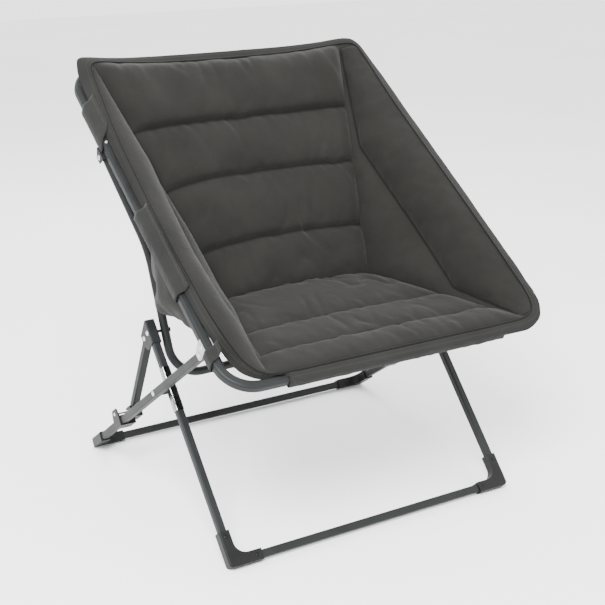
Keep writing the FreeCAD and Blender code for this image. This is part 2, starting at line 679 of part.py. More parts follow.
def hoop_tube(name, bar):
    """Half of the hoop: a U of square tube between a cross bar and the open ends of its sides."""
    body = new_body(name, hoop_place)
    open_end = dim("hoop_split")
    way = 1 if open_end > bar else -1
    bend = dim("hoop_bend")
    spine = sketch_on(body, "XY_Plane")
    corner = bar + way * bend
    turn = V(corner, hoop_side - bend, 0)
    ends = [V(open_end, hoop_side, 0), V(corner, hoop_side, 0), V(bar, hoop_side - bend, 0),
            V(bar, bend - hoop_side, 0), V(corner, -hoop_side, 0), V(open_end, -hoop_side, 0)]
    middle = bend * math.sqrt(0.5)
    first_mid = turn + V(-way * middle, middle, 0)
    last_mid = V(first_mid.x, -first_mid.y, 0)
    spine.addGeometry(Part.LineSegment(ends[0], ends[1]))
    spine.addGeometry(Part.Arc(ends[1], first_mid, ends[2]))
    spine.addGeometry(Part.LineSegment(ends[2], ends[3]))
    spine.addGeometry(Part.Arc(ends[3], last_mid, ends[4]))
    spine.addGeometry(Part.LineSegment(ends[4], ends[5]))
    profile = sketch_on(body, "YZ_Plane", shift_x="Dims.hoop_width/2", shift_out="Dims.hoop_split")
    rounded_square(profile, "Dims.hoop_tube/2", "Dims.hoop_corner")
    rounded_square(profile, "Dims.hoop_tube/2-Dims.hoop_wall", "Dims.hoop_corner-Dims.hoop_wall")
    sweep = body.newObject("PartDesign::AdditivePipe", name + "_sweep")
    sweep.Profile = profile
    sweep.Spine = (spine, [f"Edge{index}" for index in range(1, 6)])
    doc.recompute()
    return body


def hinge_plate(name, shift):
    """A tongue of zinc plate from the hoop's side down to the hoop hinge."""
    body = new_body(name, hoop_left_place)
    sketch = sketch_on(body, "XZ_Plane", shift_out=shift)
    low = "-(Dims.hoop_drop+Dims.hinge_below)"
    middle = "Dims.hoop_front_reach"
    wide = "Dims.hinge_width/2"
    polygon(sketch, [(f"{middle}-{wide}", "Dims.hinge_above"), (f"{middle}-{wide}", "-Dims.hoop_tube/2"),
                     (f"{middle}-Dims.hinge_below", low), (f"{middle}+Dims.hinge_below", low),
                     (f"{middle}+{wide}", "-Dims.hoop_tube/2"), (f"{middle}+{wide}", "Dims.hinge_above")])
    pad(body, sketch, "Dims.plate")
    bottom = -dim("hoop_drop") - dim("hinge_below")
    reach = dim("hoop_front_reach")
    ends = [V(reach + side * dim("hinge_below"), 0, bottom) for side in (-1, 1)]
    fillet(body, edges_through(body, V(0, 1, 0), ends), f"Dims.hinge_below*{HINGE_ROUNDING}")
    cross_holes(body, PIN_HOLE, [(middle, "0"), (middle, "-Dims.hoop_drop")])
    return body


def hoop_hinges():
    outside = hinge_plate("hoop_hinge_outside", "-(Dims.hoop_tube/2+Dims.fit+Dims.plate)")
    inside = hinge_plate("hoop_hinge_inside", "Dims.hoop_tube/2+Dims.fit")
    left = group("hoop_hinge_left", [outside, inside])
    node(mirror(left, "hoop_hinge_right_twin"), "hoop_hinge_right")
    grip = "Dims.hoop_tube+2*Dims.fit+2*Dims.plate"
    face = -hoop_side - dim("hoop_tube") / 2 - dim("fit") - dim("plate")
    rivet_point = hoop_front + hoop_along * dim("hoop_front_reach")
    plate_rivet = rivet("hoop_hinge_rivet", across(rivet_point, face), "Dims.pin_diameter", grip)
    pair("hoop_hinge_rivets", plate_rivet)
    pair("hoop_hinge_pins", rivet("hoop_hinge_pin", across(hoop_pivot, face), "Dims.pin_diameter", grip))


def back_bracket():
    """A steel channel under the hoop tube, whose cheeks hold the back frame's pivot."""
    body = new_body("back_bracket_left", hoop_left_place)
    middle = "(Dims.hoop_front_reach+Dims.hoop_link)"
    half = "Dims.back_bracket_length/2"
    top = "-(Dims.hoop_tube/2+Dims.fit)"
    low = "-(Dims.hoop_drop+Dims.hinge_below)"
    outline = sketch_on(body, "XZ_Plane")
    polygon(outline, [(f"{middle}-{half}", top), (f"{middle}-{half}", f"{top}-Dims.plate*2"),
                      (f"{middle}-Dims.hinge_below", low), (f"{middle}+Dims.hinge_below", low),
                      (f"{middle}+{half}", f"{top}-Dims.plate*2"), (f"{middle}+{half}", top)])
    pad(body, outline, "Dims.back_bracket_gap+2*Dims.plate", symmetric=True)
    channel = sketch_on(body, "YZ_Plane")
    gap = "Dims.back_bracket_gap/2"
    polygon(channel, [("-" + gap, f"{top}-Dims.plate"), (gap, f"{top}-Dims.plate"),
                      (gap, f"{low}-Dims.plate"), ("-" + gap, f"{low}-Dims.plate")])
    pocket(body, channel)
    cross_holes(body, PIN_HOLE, [(middle, "-Dims.hoop_drop")])
    web_hole = sketch_on(body, "XY_Plane")
    circle(web_hole, SMALL_HOLE, f"{middle}+Dims.back_rivet_offset")
    pocket(body, web_hole)
    return body


def seat_hoop():
    front = hoop_tube("hoop_front_tube", 0.0)
    cross_holes(front, PIN_HOLE, [("Dims.hoop_front_reach", "0")])
    node(front, "hoop_front_tube")
    rear = hoop_tube("hoop_rear_tube", dim("hoop_length"))
    bracket_holes = sketch_on(rear, "XY_Plane")
    bracket_rivet = "Dims.hoop_front_reach+Dims.hoop_link+Dims.back_rivet_offset"
    circle(bracket_holes, SMALL_HOLE, bracket_rivet, "Dims.hoop_width/2")
    circle(bracket_holes, SMALL_HOLE, bracket_rivet, "-Dims.hoop_width/2")
    pocket(rear, bracket_holes)
    node(rear, "hoop_rear_tube")
    split = side_place(hoop_front + hoop_along * dim("hoop_split"), hoop_slope, -hoop_side)
    splice = square_tube("hoop_splice", split, "(Dims.hoop_tube-2*Dims.hoop_wall-2*Dims.fit)",
                         "Dims.hoop_wall", "(Dims.hoop_corner-Dims.hoop_wall)", "Dims.splice_length/2",
                         "Dims.splice_length/2")
    pair("hoop_splices", splice)
    hoop_hinges()
    both_sides(back_bracket(), "back_bracket")
    face = -hoop_side - dim("back_bracket_gap") / 2 - dim("plate")
    top = V(dim("hoop_front_reach") + dim("hoop_link") + dim("back_rivet_offset"), 0, dim("hoop_tube") / 2)
    facing_down = FreeCAD.Rotation(V(0, 1, 0), 90)
    rivet_place = hoop_left_place * FreeCAD.Placement(top, facing_down)
    pair("back_bracket_rivets", rivet("back_bracket_rivet", rivet_place, "Dims.small_rivet",
                                      "Dims.hoop_tube+Dims.fit+Dims.plate"))
    pair("back_bracket_pins", rivet("back_bracket_pin", across(back_pivot, face), "Dims.pin_diameter",
                                    "Dims.back_bracket_gap+2*Dims.plate"))


# Back frame

def rounded_path(points, radii):
    """Straight runs through the points, each inner corner rounded by its radius."""
    edges = []
    start = points[0]
    for before, corner, after, radius in zip(points, points[1:], points[2:], radii):
        into = (corner - before).normalize()
        out = (after - corner).normalize()
        turn = into.getAngle(out)
        setback = radius * math.tan(turn / 2)
        begin = corner - into * setback
        end = corner + out * setback
        inward = (out - into).normalize()
        middle = corner + inward * (radius / math.cos(turn / 2) - radius)
        edges.append(Part.LineSegment(start, begin))
        edges.append(Part.Arc(begin, middle, end))
        start = end
    edges.append(Part.LineSegment(start, points[-1]))
    return edges


def back_frame():
    """A round tube U behind the sling: arms that splay out to the hoop, and a low crossbar."""
    body = new_body("back_frame_tube", back_place)
    end = back_link + dim("back_tube_end")
    lean = (hoop_side - back_knee) / (back_link - dim("back_knee_height"))
    half = [V(end, hoop_side + lean * dim("back_tube_end"), 0), V(dim("back_knee_height"), back_knee, 0),
            V(-dim("back_bar_drop"), back_low, 0)]
    path = half + [V(point.x, -point.y, 0) for point in reversed(half)]
    radii = (dim("back_knee_bend"), dim("back_bar_bend"), dim("back_bar_bend"), dim("back_knee_bend"))
    spine = sketch_on(body, "XY_Plane")
    edges = rounded_path(path, radii)
    for edge in edges:
        spine.addGeometry(edge)
    profile = sketch_on(body, "XZ_Plane")
    start = path[0]
    along = (path[1] - path[0]).normalize()
    profile.MapMode = "Deactivated"
    profile.Placement = FreeCAD.Placement(start, FreeCAD.Rotation(V(0, 0, 1), along))
    circle(profile, "Dims.back_tube/2")
    circle(profile, "Dims.back_tube/2-Dims.back_wall")
    sweep = body.newObject("PartDesign::AdditivePipe", "back_frame_sweep")
    sweep.Profile = profile
    sweep.Spine = (spine, [f"Edge{index}" for index in range(1, len(edges) + 1)])
    doc.recompute()
    cross_holes(body, PIN_HOLE, [("0", "0"), (back_link, "0")])
    node(body, "back_frame_tube")
    inside = back_pivot_side - dim("back_tube") / 2 - dim("back_pivot_seat")
    cheek = front_side - dim("leg_tube") / 2 - dim("turn_gap") - dim("plate") - dim("head_height")
    stub_end = V(-inside, bracket_pivot.y, bracket_pivot.z)
    facing_out = FreeCAD.Placement(stub_end, FreeCAD.Rotation(V(0, 0, 1), 180))
    reach = cheek - inside - dim("turn_gap")
    stub = rivet("back_frame_pivot", facing_out, "Dims.pin_diameter", f"{reach}", far_head=False)
    pair("back_frame_pivots", stub)


# Sling: padded panels, sleeves and straps

def hoop_point(along, rise, x):
    """A point given along the hoop, above its centre plane, and across the chair."""
    return hoop_front + hoop_along * along + hoop_normal * rise + V(x, 0, 0)


def part_node(label, shape):
    feature = doc.addObject("Part::Feature", label)
    feature.Shape = shape
    return node(feature, label)


def blend(start, end, share):
    return start + (end - start) * share


def pad_section(place, square, width, edge, crown):
    """Closed outline across a panel: flat underneath, short sides, rounded shoulders and a flat top."""
    half = V(width / 2, 0, 0)
    inset = V(dim("pad_shoulder"), 0, 0)
    corners = [place - half, place + half, place + half + square * edge, place - half + square * edge]
    shoulders = [place + half - inset + square * crown, place - half + inset + square * crown]
    arcs = []
    for corner, shoulder in zip(corners[2:], shoulders):
        turn = corner + (shoulder - corner) * SHOULDER_TURN
        turn = turn + square * ((crown - edge) * SHOULDER_FULLNESS)
        arcs.append((corner, turn, shoulder))
    lines = [Part.makeLine(corners[0], corners[1]), Part.makeLine(corners[1], corners[2]),
             Part.Arc(*arcs[0]).toShape(), Part.makeLine(*shoulders), Part.Arc(*arcs[1][::-1]).toShape(),
             Part.makeLine(corners[3], corners[0])]
    return Part.Wire(lines)


def channelled_panel(start, end, widths, channels, crown):
    """Padding sewn into channels: each channel swells between two thin seams."""
    along = (end - start).normalize()
    square = V(1, 0, 0).cross(along)
    if square.z < 0:
        square = square * -1
    swells = []
    for low, high in zip(channels, channels[1:]):
        sections = []
        for share, edge, top in ((low, dim("pad_edge"), dim("pad_seam")),
                                 ((low + high) / 2, dim("pad_edge") + dim("pad_seam") / 2, crown),
                                 (high, dim("pad_edge"), dim("pad_seam"))):
            sections.append(pad_section(blend(start, end, share), square, blend(*widths, share), edge, top))
        swells.append(Part.makeLoft(sections, True, False))
    return swells[0].fuse(swells[1:]).removeSplitter()


def sling_panels():
    """Back and seat, which meet at the crease with a sewing gap between their padded ends."""
    crease = hoop_point(dim("crease_along"), -dim("sling_depth"), 0)
    top = hoop_point(back_top_along, 0, 0)
    front = hoop_point(dim("seat_front_along"), -dim("seat_front_depth"), 0)
    up = (top - crease).normalize()
    forward = (front - crease).normalize()
    half_angle = up.getAngle(forward) / 2
    inset = (dim("cloth_gap") / 2 + dim("pad_seam") * math.cos(half_angle)) / math.sin(half_angle)
    back_widths = (crease_width, back_top_width)
    seat_widths = (crease_width, seat_front_width)
    back = channelled_panel(crease + up * inset, top, back_widths, BACK_CHANNELS, dim("back_crown"))
    seat = channelled_panel(crease + forward * inset, front, seat_widths, SEAT_CHANNELS, dim("seat_crown"))
    part_node("sling_back", back)
    part_node("sling_seat", seat)


def rim_side_at(along):
    """Half width of the sling's rim: beside the straight tubes, and inside the hoop's bends at the ends."""
    side = hoop_side - dim("hoop_tube") / 2 - dim("cloth_ease") - dim("cloth") - dim("cloth_gap")
    bend = dim("hoop_bend")
    inside = bend - dim("hoop_tube") / 2 - dim("sling_corner_gap")
    depth = bend - min(along, dim("hoop_length") - along)
    if depth > 0:
        side = min(side, hoop_side - bend + math.sqrt(inside ** 2 - depth ** 2))
    return side


def side_section(along):
    """Section of the left side panel: lower roll, seam, upper roll, the rim's own roll, slack cloth outside."""
    crease = dim("crease_along")
    if along <= crease:
        share = (crease - along) / (crease - dim("seat_front_along"))
        low_width = blend(crease_width, seat_front_width, share)
        low_rise = -blend(dim("sling_depth"), dim("seat_front_depth"), share)
    else:
        share = (along - crease) / (back_top_along - crease)
        low_width = blend(crease_width, back_top_width, share)
        low_rise = -blend(dim("sling_depth"), 0, share)
    low = hoop_point(along, low_rise, -low_width / 2 - 2 * dim("cloth_gap"))
    rim = hoop_point(along, dim("sling_rim_rise"), -rim_side_at(along))
    rim_under = rim + V(dim("sling_rim_taper"), 0, 0) - hoop_normal * dim("sling_rim_depth")
    chord = rim - low
    height = chord.Length
    up = chord / height
    inward = up.cross(hoop_along)
    if inward.x < 0:
        inward = inward * -1
    fullness = min(1.0, height / dim("rim_roll_chord"))
    crest = rim + V(dim("rim_roll_width") * fullness, 0, 0) + hoop_normal * (dim("rim_roll_rise") * fullness)
    seam = rim - up * min(dim("side_seam_depth"), SIDE_SEAM_LIMIT * height)
    lower_crown = min(dim("side_crown"), (seam - low).Length * SIDE_CROWN_LIMIT)
    upper_crown = min(dim("side_crown"), (crest - seam).Length * SIDE_CROWN_LIMIT)
    lower_mid = (low + seam) * 0.5 + inward * lower_crown
    upper_mid = (seam + crest) * 0.5 + inward * upper_crown
    top_mid = (crest + rim) * 0.5 + hoop_normal * (dim("rim_roll_crown") * fullness)
    low_under = low - inward * dim("side_pad")
    outer_mid = (rim_under + low_under) * 0.5 - inward * (dim("side_bulge") * fullness ** 2)
    edges = [Part.Arc(low, lower_mid, seam).toShape(), Part.Arc(seam, upper_mid, crest).toShape(),
             Part.Arc(crest, top_mid, rim).toShape(), Part.makeLine(rim, rim_under),
             Part.Arc(rim_under, outer_mid, low_under).toShape(), Part.makeLine(low_under, low)]
    return Part.Wire(edges)


def sling_sides():
    front = dim("seat_front_along")
    crease = dim("crease_along")
    top = back_top_along
    half = SIDE_STATIONS // 2
    bend = dim("hoop_bend")
    stations = [front] + [blend(bend, crease, index / half) for index in range(half)]
    stations += [blend(crease, dim("hoop_length") - bend, index / half) for index in range(half + 1)]
    stations += [blend(stations[-1], top, 0.5), top]
    panel = Part.makeLoft([side_section(along) for along in stations], True, True)
    left = part_node("sling_side_left", panel)
    node(mirror(left, "sling_side_right_twin"), "sling_side_right")


RING_HALF = "(Dims.hoop_tube/2+Dims.cloth_ease+Dims.cloth)"


def tube_ring(sketch):
    rounded_square(sketch, RING_HALF, "Dims.hoop_corner+Dims.cloth")
    rounded_square(sketch, "Dims.hoop_tube/2+Dims.cloth_ease", "Dims.hoop_corner")


def side_sleeve(name, start, length):
    """Cloth round a side tube of the hoop, sewn to the sling's rim along its inner side."""
    body = new_body(name + "_left", hoop_left_place)
    ring = sketch_on(body, "YZ_Plane", shift_out=start)
    tube_ring(ring)
    pad(body, ring, length)
    both_sides(body, name)


def front_sleeve():
    """Cloth round the front bar, with a tail that is sewn to the seat's front edge."""
    body = new_body("sleeve_front", hoop_place)
    ring = sketch_on(body, "XZ_Plane")
    tube_ring(ring)
    pad(body, ring, "Dims.hoop_width-2*Dims.sleeve_front_inset", symmetric=True)
    tail = sketch_on(body, "XZ_Plane")
    inner = f"{RING_HALF}-Dims.hoop_corner-Dims.cloth"
    edge = "Dims.seat_front_along-Dims.cloth_gap"
    low = f"-{RING_HALF}"
    polygon(tail, [(inner, low), (edge, low), (edge, f"{low}+Dims.cloth"), (inner, f"{low}+Dims.cloth")])
    pad(body, tail, "Dims.hoop_width-2*Dims.sleeve_front_inset", symmetric=True)
    node(body, "sleeve_front")


def top_sleeve():
    """Cloth over the top bar that carries the sling's upper edge."""
    body = new_body("sleeve_top", hoop_place)
    profile = sketch_on(body, "XZ_Plane", shift_x="Dims.hoop_length")
    low = f"-{RING_HALF}"
    near = "-(Dims.back_top_gap-Dims.cloth_gap)"
    edge = "Dims.top_edge_reach"
    polygon(profile, [(near, low), (RING_HALF, low), (edge, "Dims.top_edge_rise-Dims.pad_seam"),
                      (f"{edge}-Dims.cloth*2", "Dims.top_edge_rise"), (near, f"{RING_HALF}+Dims.cloth*2")])
    rounded_square(profile, "Dims.hoop_tube/2+Dims.cloth_ease", "Dims.hoop_corner")
    pad(body, profile, "Dims.hoop_width-2*Dims.sleeve_top_inset", symmetric=True)
    node(body, "sleeve_top")


def sling():
    sling_panels()
    sling_sides()
    front_sleeve()
    top_sleeve()
    side_sleeve("sleeve", "Dims.sleeve_side_start", "Dims.sleeve_side_length")
    over_bracket = "Dims.hoop_front_reach+Dims.hoop_link+Dims.back_bracket_length/2+Dims.strap_upper_gap"
    under_bend = "Dims.hoop_length-Dims.hoop_bend-Dims.strap_upper_end"
    side_sleeve("strap_upper", over_bracket, f"{under_bend}-({over_bracket})")
    under_hinge = "Dims.hoop_front_reach-Dims.hinge_width/2-Dims.strap_lower_gap-Dims.strap_lower_length"
    side_sleeve("strap_lower", under_hinge, "Dims.strap_lower_length")


def check_and_write():
    """Stop on any failed object, then write each piece."""
    doc.recompute()
    for obj in doc.Objects:
        if "Invalid" in obj.State or "Error" in obj.State:
            raise RuntimeError(f"{obj.Label} failed: {obj.State}")
    for piece in nodes:
        if piece.Shape.isNull() or not piece.Shape.isValid() or not piece.Shape.Solids:
            raise RuntimeError(f"{piece.Label} has no sound shape")
    os.makedirs("parts", exist_ok=True)
    for piece in nodes:
        piece.Shape.exportStep(f"parts/{piece.Label}.step")


rear_leg_frame()
front_leg_frame()
struts()
runners()
seat_hoop()
back_frame()
sling()
check_and_write()
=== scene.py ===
import json
import math

import bmesh
import bpy
import numpy as np
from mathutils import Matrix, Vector, noise


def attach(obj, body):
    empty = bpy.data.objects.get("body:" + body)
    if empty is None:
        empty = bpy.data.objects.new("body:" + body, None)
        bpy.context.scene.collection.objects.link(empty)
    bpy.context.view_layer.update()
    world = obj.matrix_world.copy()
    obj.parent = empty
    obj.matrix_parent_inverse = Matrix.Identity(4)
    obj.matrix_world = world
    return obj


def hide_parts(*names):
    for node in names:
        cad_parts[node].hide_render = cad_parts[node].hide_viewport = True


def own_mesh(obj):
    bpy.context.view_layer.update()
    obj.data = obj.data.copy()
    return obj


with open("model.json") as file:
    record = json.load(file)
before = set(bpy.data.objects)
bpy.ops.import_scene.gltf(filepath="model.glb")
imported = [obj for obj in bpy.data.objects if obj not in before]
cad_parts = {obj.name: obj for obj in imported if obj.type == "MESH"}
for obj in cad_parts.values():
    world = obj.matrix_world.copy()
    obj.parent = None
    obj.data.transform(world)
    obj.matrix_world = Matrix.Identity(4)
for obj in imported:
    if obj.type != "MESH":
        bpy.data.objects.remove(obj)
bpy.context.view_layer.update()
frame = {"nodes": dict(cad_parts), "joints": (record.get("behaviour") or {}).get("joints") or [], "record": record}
nodes = frame["nodes"]
scene = bpy.context.scene

# Lengths in metres. Hoop frame: u along the slope from the front bar, n square to the hoop's plane, x across
joints = {joint["name"]: joint for joint in frame["joints"]}
seat_pivot = np.array(joints["seat_fold"]["pos_m"])
back_pivot = np.array(joints["back_fold"]["pos_m"])
HOOP_REACH = 0.106
HOOP_DROP = 0.022
HOOP_SIDE = 0.358
ALONG = (back_pivot - seat_pivot) * np.array([0, 1, 1])
ALONG = ALONG / np.linalg.norm(ALONG)
NORMAL = np.array([0, -ALONG[2], ALONG[1]])
ORIGIN = seat_pivot * np.array([0, 1, 1]) - ALONG * HOOP_REACH + NORMAL * HOOP_DROP
ACROSS = np.array([1.0, 0, 0])


def at(x, u, n):
    """Points in the object's frame from hoop coordinates."""
    x, u, n = np.broadcast_arrays(x, u, n)
    return ORIGIN + x[..., None] * ACROSS + u[..., None] * ALONG + n[..., None] * NORMAL


def run_length(points):
    """Length along a line of points, up to each of them."""
    return np.concatenate([[0], np.cumsum(np.linalg.norm(np.diff(points, axis=0), axis=1))])


def row_lengths(points):
    """Length along each row of a grid of points, up to each of them."""
    steps = np.cumsum(np.linalg.norm(np.diff(points, axis=1), axis=2), 1)
    return np.concatenate([np.zeros((len(points), 1)), steps], 1)


def unit(vectors):
    return vectors / np.linalg.norm(vectors, axis=-1, keepdims=True)


def bezier(a, b, c, d, share):
    """Curve from a to d, drawn toward b and c."""
    return ((1 - share) ** 3 * a + 3 * share * (1 - share) ** 2 * b
            + 3 * share ** 2 * (1 - share) * c + share ** 3 * d)


LINE_STEPS = 24


def smooth_line(points, count):
    """Smooth line through points, sampled evenly by length."""
    p = np.array(points, float)
    p = np.vstack([2 * p[0] - p[1], p, 2 * p[-1] - p[-2]])
    t = np.linspace(0, 1, LINE_STEPS, endpoint=False)[:, None]
    runs = []
    for a, b, c, d in zip(p, p[1:], p[2:], p[3:]):
        runs.append(0.5 * (2 * b + (c - a) * t + (2 * a - 5 * b + 4 * c - d) * t ** 2
                           + (3 * b - a - 3 * c + d) * t ** 3))
    line = np.vstack(runs + [p[-2:-1]])
    length = run_length(line)
    where = np.linspace(0, length[-1], count)
    return np.stack([np.interp(where, length, line[:, k]) for k in range(line.shape[1])], 1)


def wander(points, scale, seed):
    """Smooth noise from -1 to 1 at each point."""
    flat = points.reshape(-1, 3)
    values = [noise.noise(Vector(p) / scale + Vector((seed, 0, 0))) for p in flat]
    return np.array(values).reshape(points.shape[:-1])


# Rim of the sling: each half runs from the middle of the front to the middle of the top, drawn for the right: (x, u, n)
PIPING_FRONT = [(0, .006, .0150), (.15, .006, .0150), (.225, .006, .0150)]
PIPING_TOP = [(.240, .847, .026), (.150, .850, .016), (0, .851, .012)]
PIPING_LEFT = PIPING_FRONT + [
    (.281, .012, .0140), (.309, .040, .0145), (.323, .080, .018), (.333, .130, .023), (.341, .200, .028),
    (.346, .336, .0315), (.346, .500, .0315), (.341, .650, .0315), (.333, .760, .034), (.328, .815, .036),
    (.321, .838, .037), (.300, .845, .035)] + PIPING_TOP
PIPING_RIGHT = PIPING_FRONT + [
    (.303, .010, .0140), (.334, .030, .015), (.342, .070, .018), (.340, .120, .022), (.336, .200, .028),
    (.333, .336, .0315), (.332, .500, .0315), (.332, .650, .0315), (.334, .760, .034), (.333, .815, .036),
    (.325, .837, .037), (.300, .8445, .0345)] + PIPING_TOP
HEM_FRONT = [(0, -.0124, .0106), (.15, -.0124, .0106)]
HEM_LEFT = HEM_FRONT + [
    (.222, -.0116, .0110), (.240, -.001, .0130), (.262, .013, -.002), (.286, .022, -.009), (.311, .042, -.010),
    (.326, .068, -.006), (.337, .095, .003), (.348, .130, .011), (.3535, .200, .0120), (.3535, .336, .0125),
    (.3535, .500, .0125), (.3535, .650, .0128), (.3540, .750, .0150), (.353, .815, .022), (.348, .850, .031),
    (.341, .863, .034), (.320, .868, .032), (.250, .870, .022), (.150, .871, .0175), (0, .871, .0165)]
HEM_RIGHT = HEM_FRONT + [
    (.230, -.0124, .0106), (.262, -.0124, .0106), (.296, -.0100, .0112), (.322, -.002, .0120), (.3455, .013, .0118),
    (.360, .036, .0118), (.366, .064, .0120), (.368, .130, .0125), (.368, .200, .0130), (.368, .336, .0135),
    (.368, .500, .0135), (.368, .650, .0135), (.367, .750, .0150), (.357, .815, .023), (.344, .850, .031),
    (.318, .865, .034), (.250, .869, .024), (.150, .871, .0175), (0, .871, .0165)]
# Corners and crease of the panels; a shift moves both corners of an edge the same way across
FRONT_CORNER = np.array([.292, .010, .014])
TOP_CORNER = np.array([.306, .844, .036])
FRONT_SHIFT = 0.011
TOP_SHIFT = -0.016
CREASE = np.array([.185, .336, -.190])
CREASE_BOW = 0.014
CORNER_PLAY = 0.001
RIM_POINTS = 420
END_POINTS = 105
piping_left = smooth_line(PIPING_LEFT, RIM_POINTS)
piping_right = smooth_line(PIPING_RIGHT, RIM_POINTS)
hem_left = smooth_line(HEM_LEFT, RIM_POINTS)
hem_right = smooth_line(HEM_RIGHT, RIM_POINTS)


def full_loop(right, left):
    """Closed loop from its two halves, each drawn for the right."""
    return np.vstack([right, left[::-1][1:-1] * np.array([-1, 1, 1])])


def rim_at(x, left, right):
    """The rim's u and n at x, along one end of its two halves."""
    return [np.where(x < 0, np.interp(-x, left[:, 0], left[:, k]), np.interp(x, right[:, 0], right[:, k]))
            for k in (1, 2)]


def front_edge(x):
    return rim_at(x, piping_left[:END_POINTS], piping_right[:END_POINTS])


def top_edge(x):
    return rim_at(x, piping_left[:-END_POINTS:-1], piping_right[:-END_POINTS:-1])


def side_edge(u, half):
    keep = (half[:, 1] >= FRONT_CORNER[1]) & (half[:, 1] <= TOP_CORNER[1])
    part = half[keep & (half[:, 0] >= FRONT_CORNER[0] - FRONT_SHIFT - CORNER_PLAY)]
    return np.interp(u, part[:, 1], part[:, 0]), np.interp(u, part[:, 1], part[:, 2])


# Mesh building
def add_object(name, vertices, faces, uv=None):
    mesh = bpy.data.meshes.new(name)
    mesh.from_pydata([tuple(v) for v in vertices], [], [tuple(f) for f in faces])
    if uv is not None:
        layer = mesh.uv_layers.new(name="cloth")
        index = np.empty(len(mesh.loops), int)
        mesh.loops.foreach_get("vertex_index", index)
        layer.data.foreach_set("uv", np.asarray(uv, float)[index].ravel())
    work = bmesh.new()
    work.from_mesh(mesh)
    bmesh.ops.recalc_face_normals(work, faces=work.faces)
    work.to_mesh(mesh)
    work.free()
    mesh.polygons.foreach_set("use_smooth", [True] * len(mesh.polygons))
    thing = bpy.data.objects.new(name, mesh)
    scene.collection.objects.link(thing)
    return thing


def grid_faces(rows, columns, start=0, closed=False):
    faces = []
    for r in range(rows if closed else rows - 1):
        below = (r + 1) % rows
        for c in range(columns - 1):
            faces.append((start + r * columns + c, start + r * columns + c + 1,
                          start + below * columns + c + 1, start + below * columns + c))
    return faces


def get_points(thing):
    place = np.empty(len(thing.data.vertices) * 3)
    thing.data.vertices.foreach_get("co", place)
    return place.reshape(-1, 3)


def set_points(thing, place):
    thing.data.vertices.foreach_set("co", place.ravel())
    thing.data.update()


def apply_modifiers(thing):
    mesh = bpy.data.meshes.new_from_object(thing.evaluated_get(bpy.context.evaluated_depsgraph_get()))
    thing.modifiers.clear()
    thing.data = mesh
    mesh.polygons.foreach_set("use_smooth", [True] * len(mesh.polygons))


UNDERSIDE_UV = np.array([1.3, 0])


def pad_object(name, top, bottom, uv):
    """Closed pad from its upper and lower cloth, each a grid of points."""
    rows, columns = top.shape[:2]
    count = rows * columns
    faces = grid_faces(rows, columns) + [f[::-1] for f in grid_faces(rows, columns, count)]
    index = np.arange(count).reshape(rows, columns)
    edge = np.concatenate([index[0, :], index[1:, -1], index[-1, -2::-1], index[-2:0:-1, 0]])
    for a, b in zip(edge, np.roll(edge, -1)):
        faces.append((a, a + count, b + count, b))
    points = np.concatenate([top.reshape(-1, 3), bottom.reshape(-1, 3)])
    uv = uv.reshape(-1, 2)
    return add_object(name, points, faces, np.concatenate([uv, uv + UNDERSIDE_UV]))


def puff(pad, free, pressure, slack, cap, frames=18):
    """Blows the pad's upper cloth up between its seams, as stuffing does, with a little extra cloth."""
    held = np.setdiff1d(np.arange(len(pad.data.vertices)), free)
    group = pad.vertex_groups.new(name="sewn")
    group.add([int(i) for i in held], 1.0, "REPLACE")
    cloth = pad.modifiers.new("stuffing", "CLOTH")
    rules = cloth.settings
    rules.quality = 5
    rules.mass = 0.2
    rules.tension_stiffness = 20
    rules.compression_stiffness = 20
    rules.shear_stiffness = 8
    rules.bending_stiffness = 0.25
    rules.air_damping = 3
    rules.use_pressure = True
    rules.uniform_pressure_force = pressure
    rules.vertex_group_mass = group.name
    rules.shrink_min = -slack
    rules.effector_weights.gravity = 0
    cloth.collision_settings.use_collision = False
    cloth.point_cache.frame_start = 1
    cloth.point_cache.frame_end = frames
    start = get_points(pad)
    for number in range(1, frames + 1):
        scene.frame_set(number)
    move = get_points(pad.evaluated_get(bpy.context.evaluated_depsgraph_get())) - start
    reach = np.linalg.norm(move, axis=1, keepdims=True)
    move *= np.tanh(reach / cap) * cap / np.maximum(reach, 1e-9)
    pad.modifiers.remove(cloth)
    pad.vertex_groups.remove(group)
    set_points(pad, start + move)
    scene.frame_set(1)


SOFTEN_SHARE = 0.5


def soften(pad, free, passes):
    """Evens the upper cloth out over its neighbours."""
    edges = np.empty(len(pad.data.edges) * 2, int)
    pad.data.edges.foreach_get("vertices", edges)
    edges = edges.reshape(-1, 2)
    place = get_points(pad)
    degree = np.bincount(edges.ravel(), minlength=len(place))[:, None]
    for _ in range(passes):
        total = np.zeros_like(place)
        np.add.at(total, edges[:, 0], place[edges[:, 1]])
        np.add.at(total, edges[:, 1], place[edges[:, 0]])
        mean = total / np.maximum(degree, 1)
        place[free] += (mean[free] - place[free]) * SOFTEN_SHARE
    set_points(pad, place)


def subdivide(thing, levels=1):
    finer = thing.modifiers.new("finer", "SUBSURF")
    finer.levels = levels
    finer.render_levels = levels
    apply_modifiers(thing)


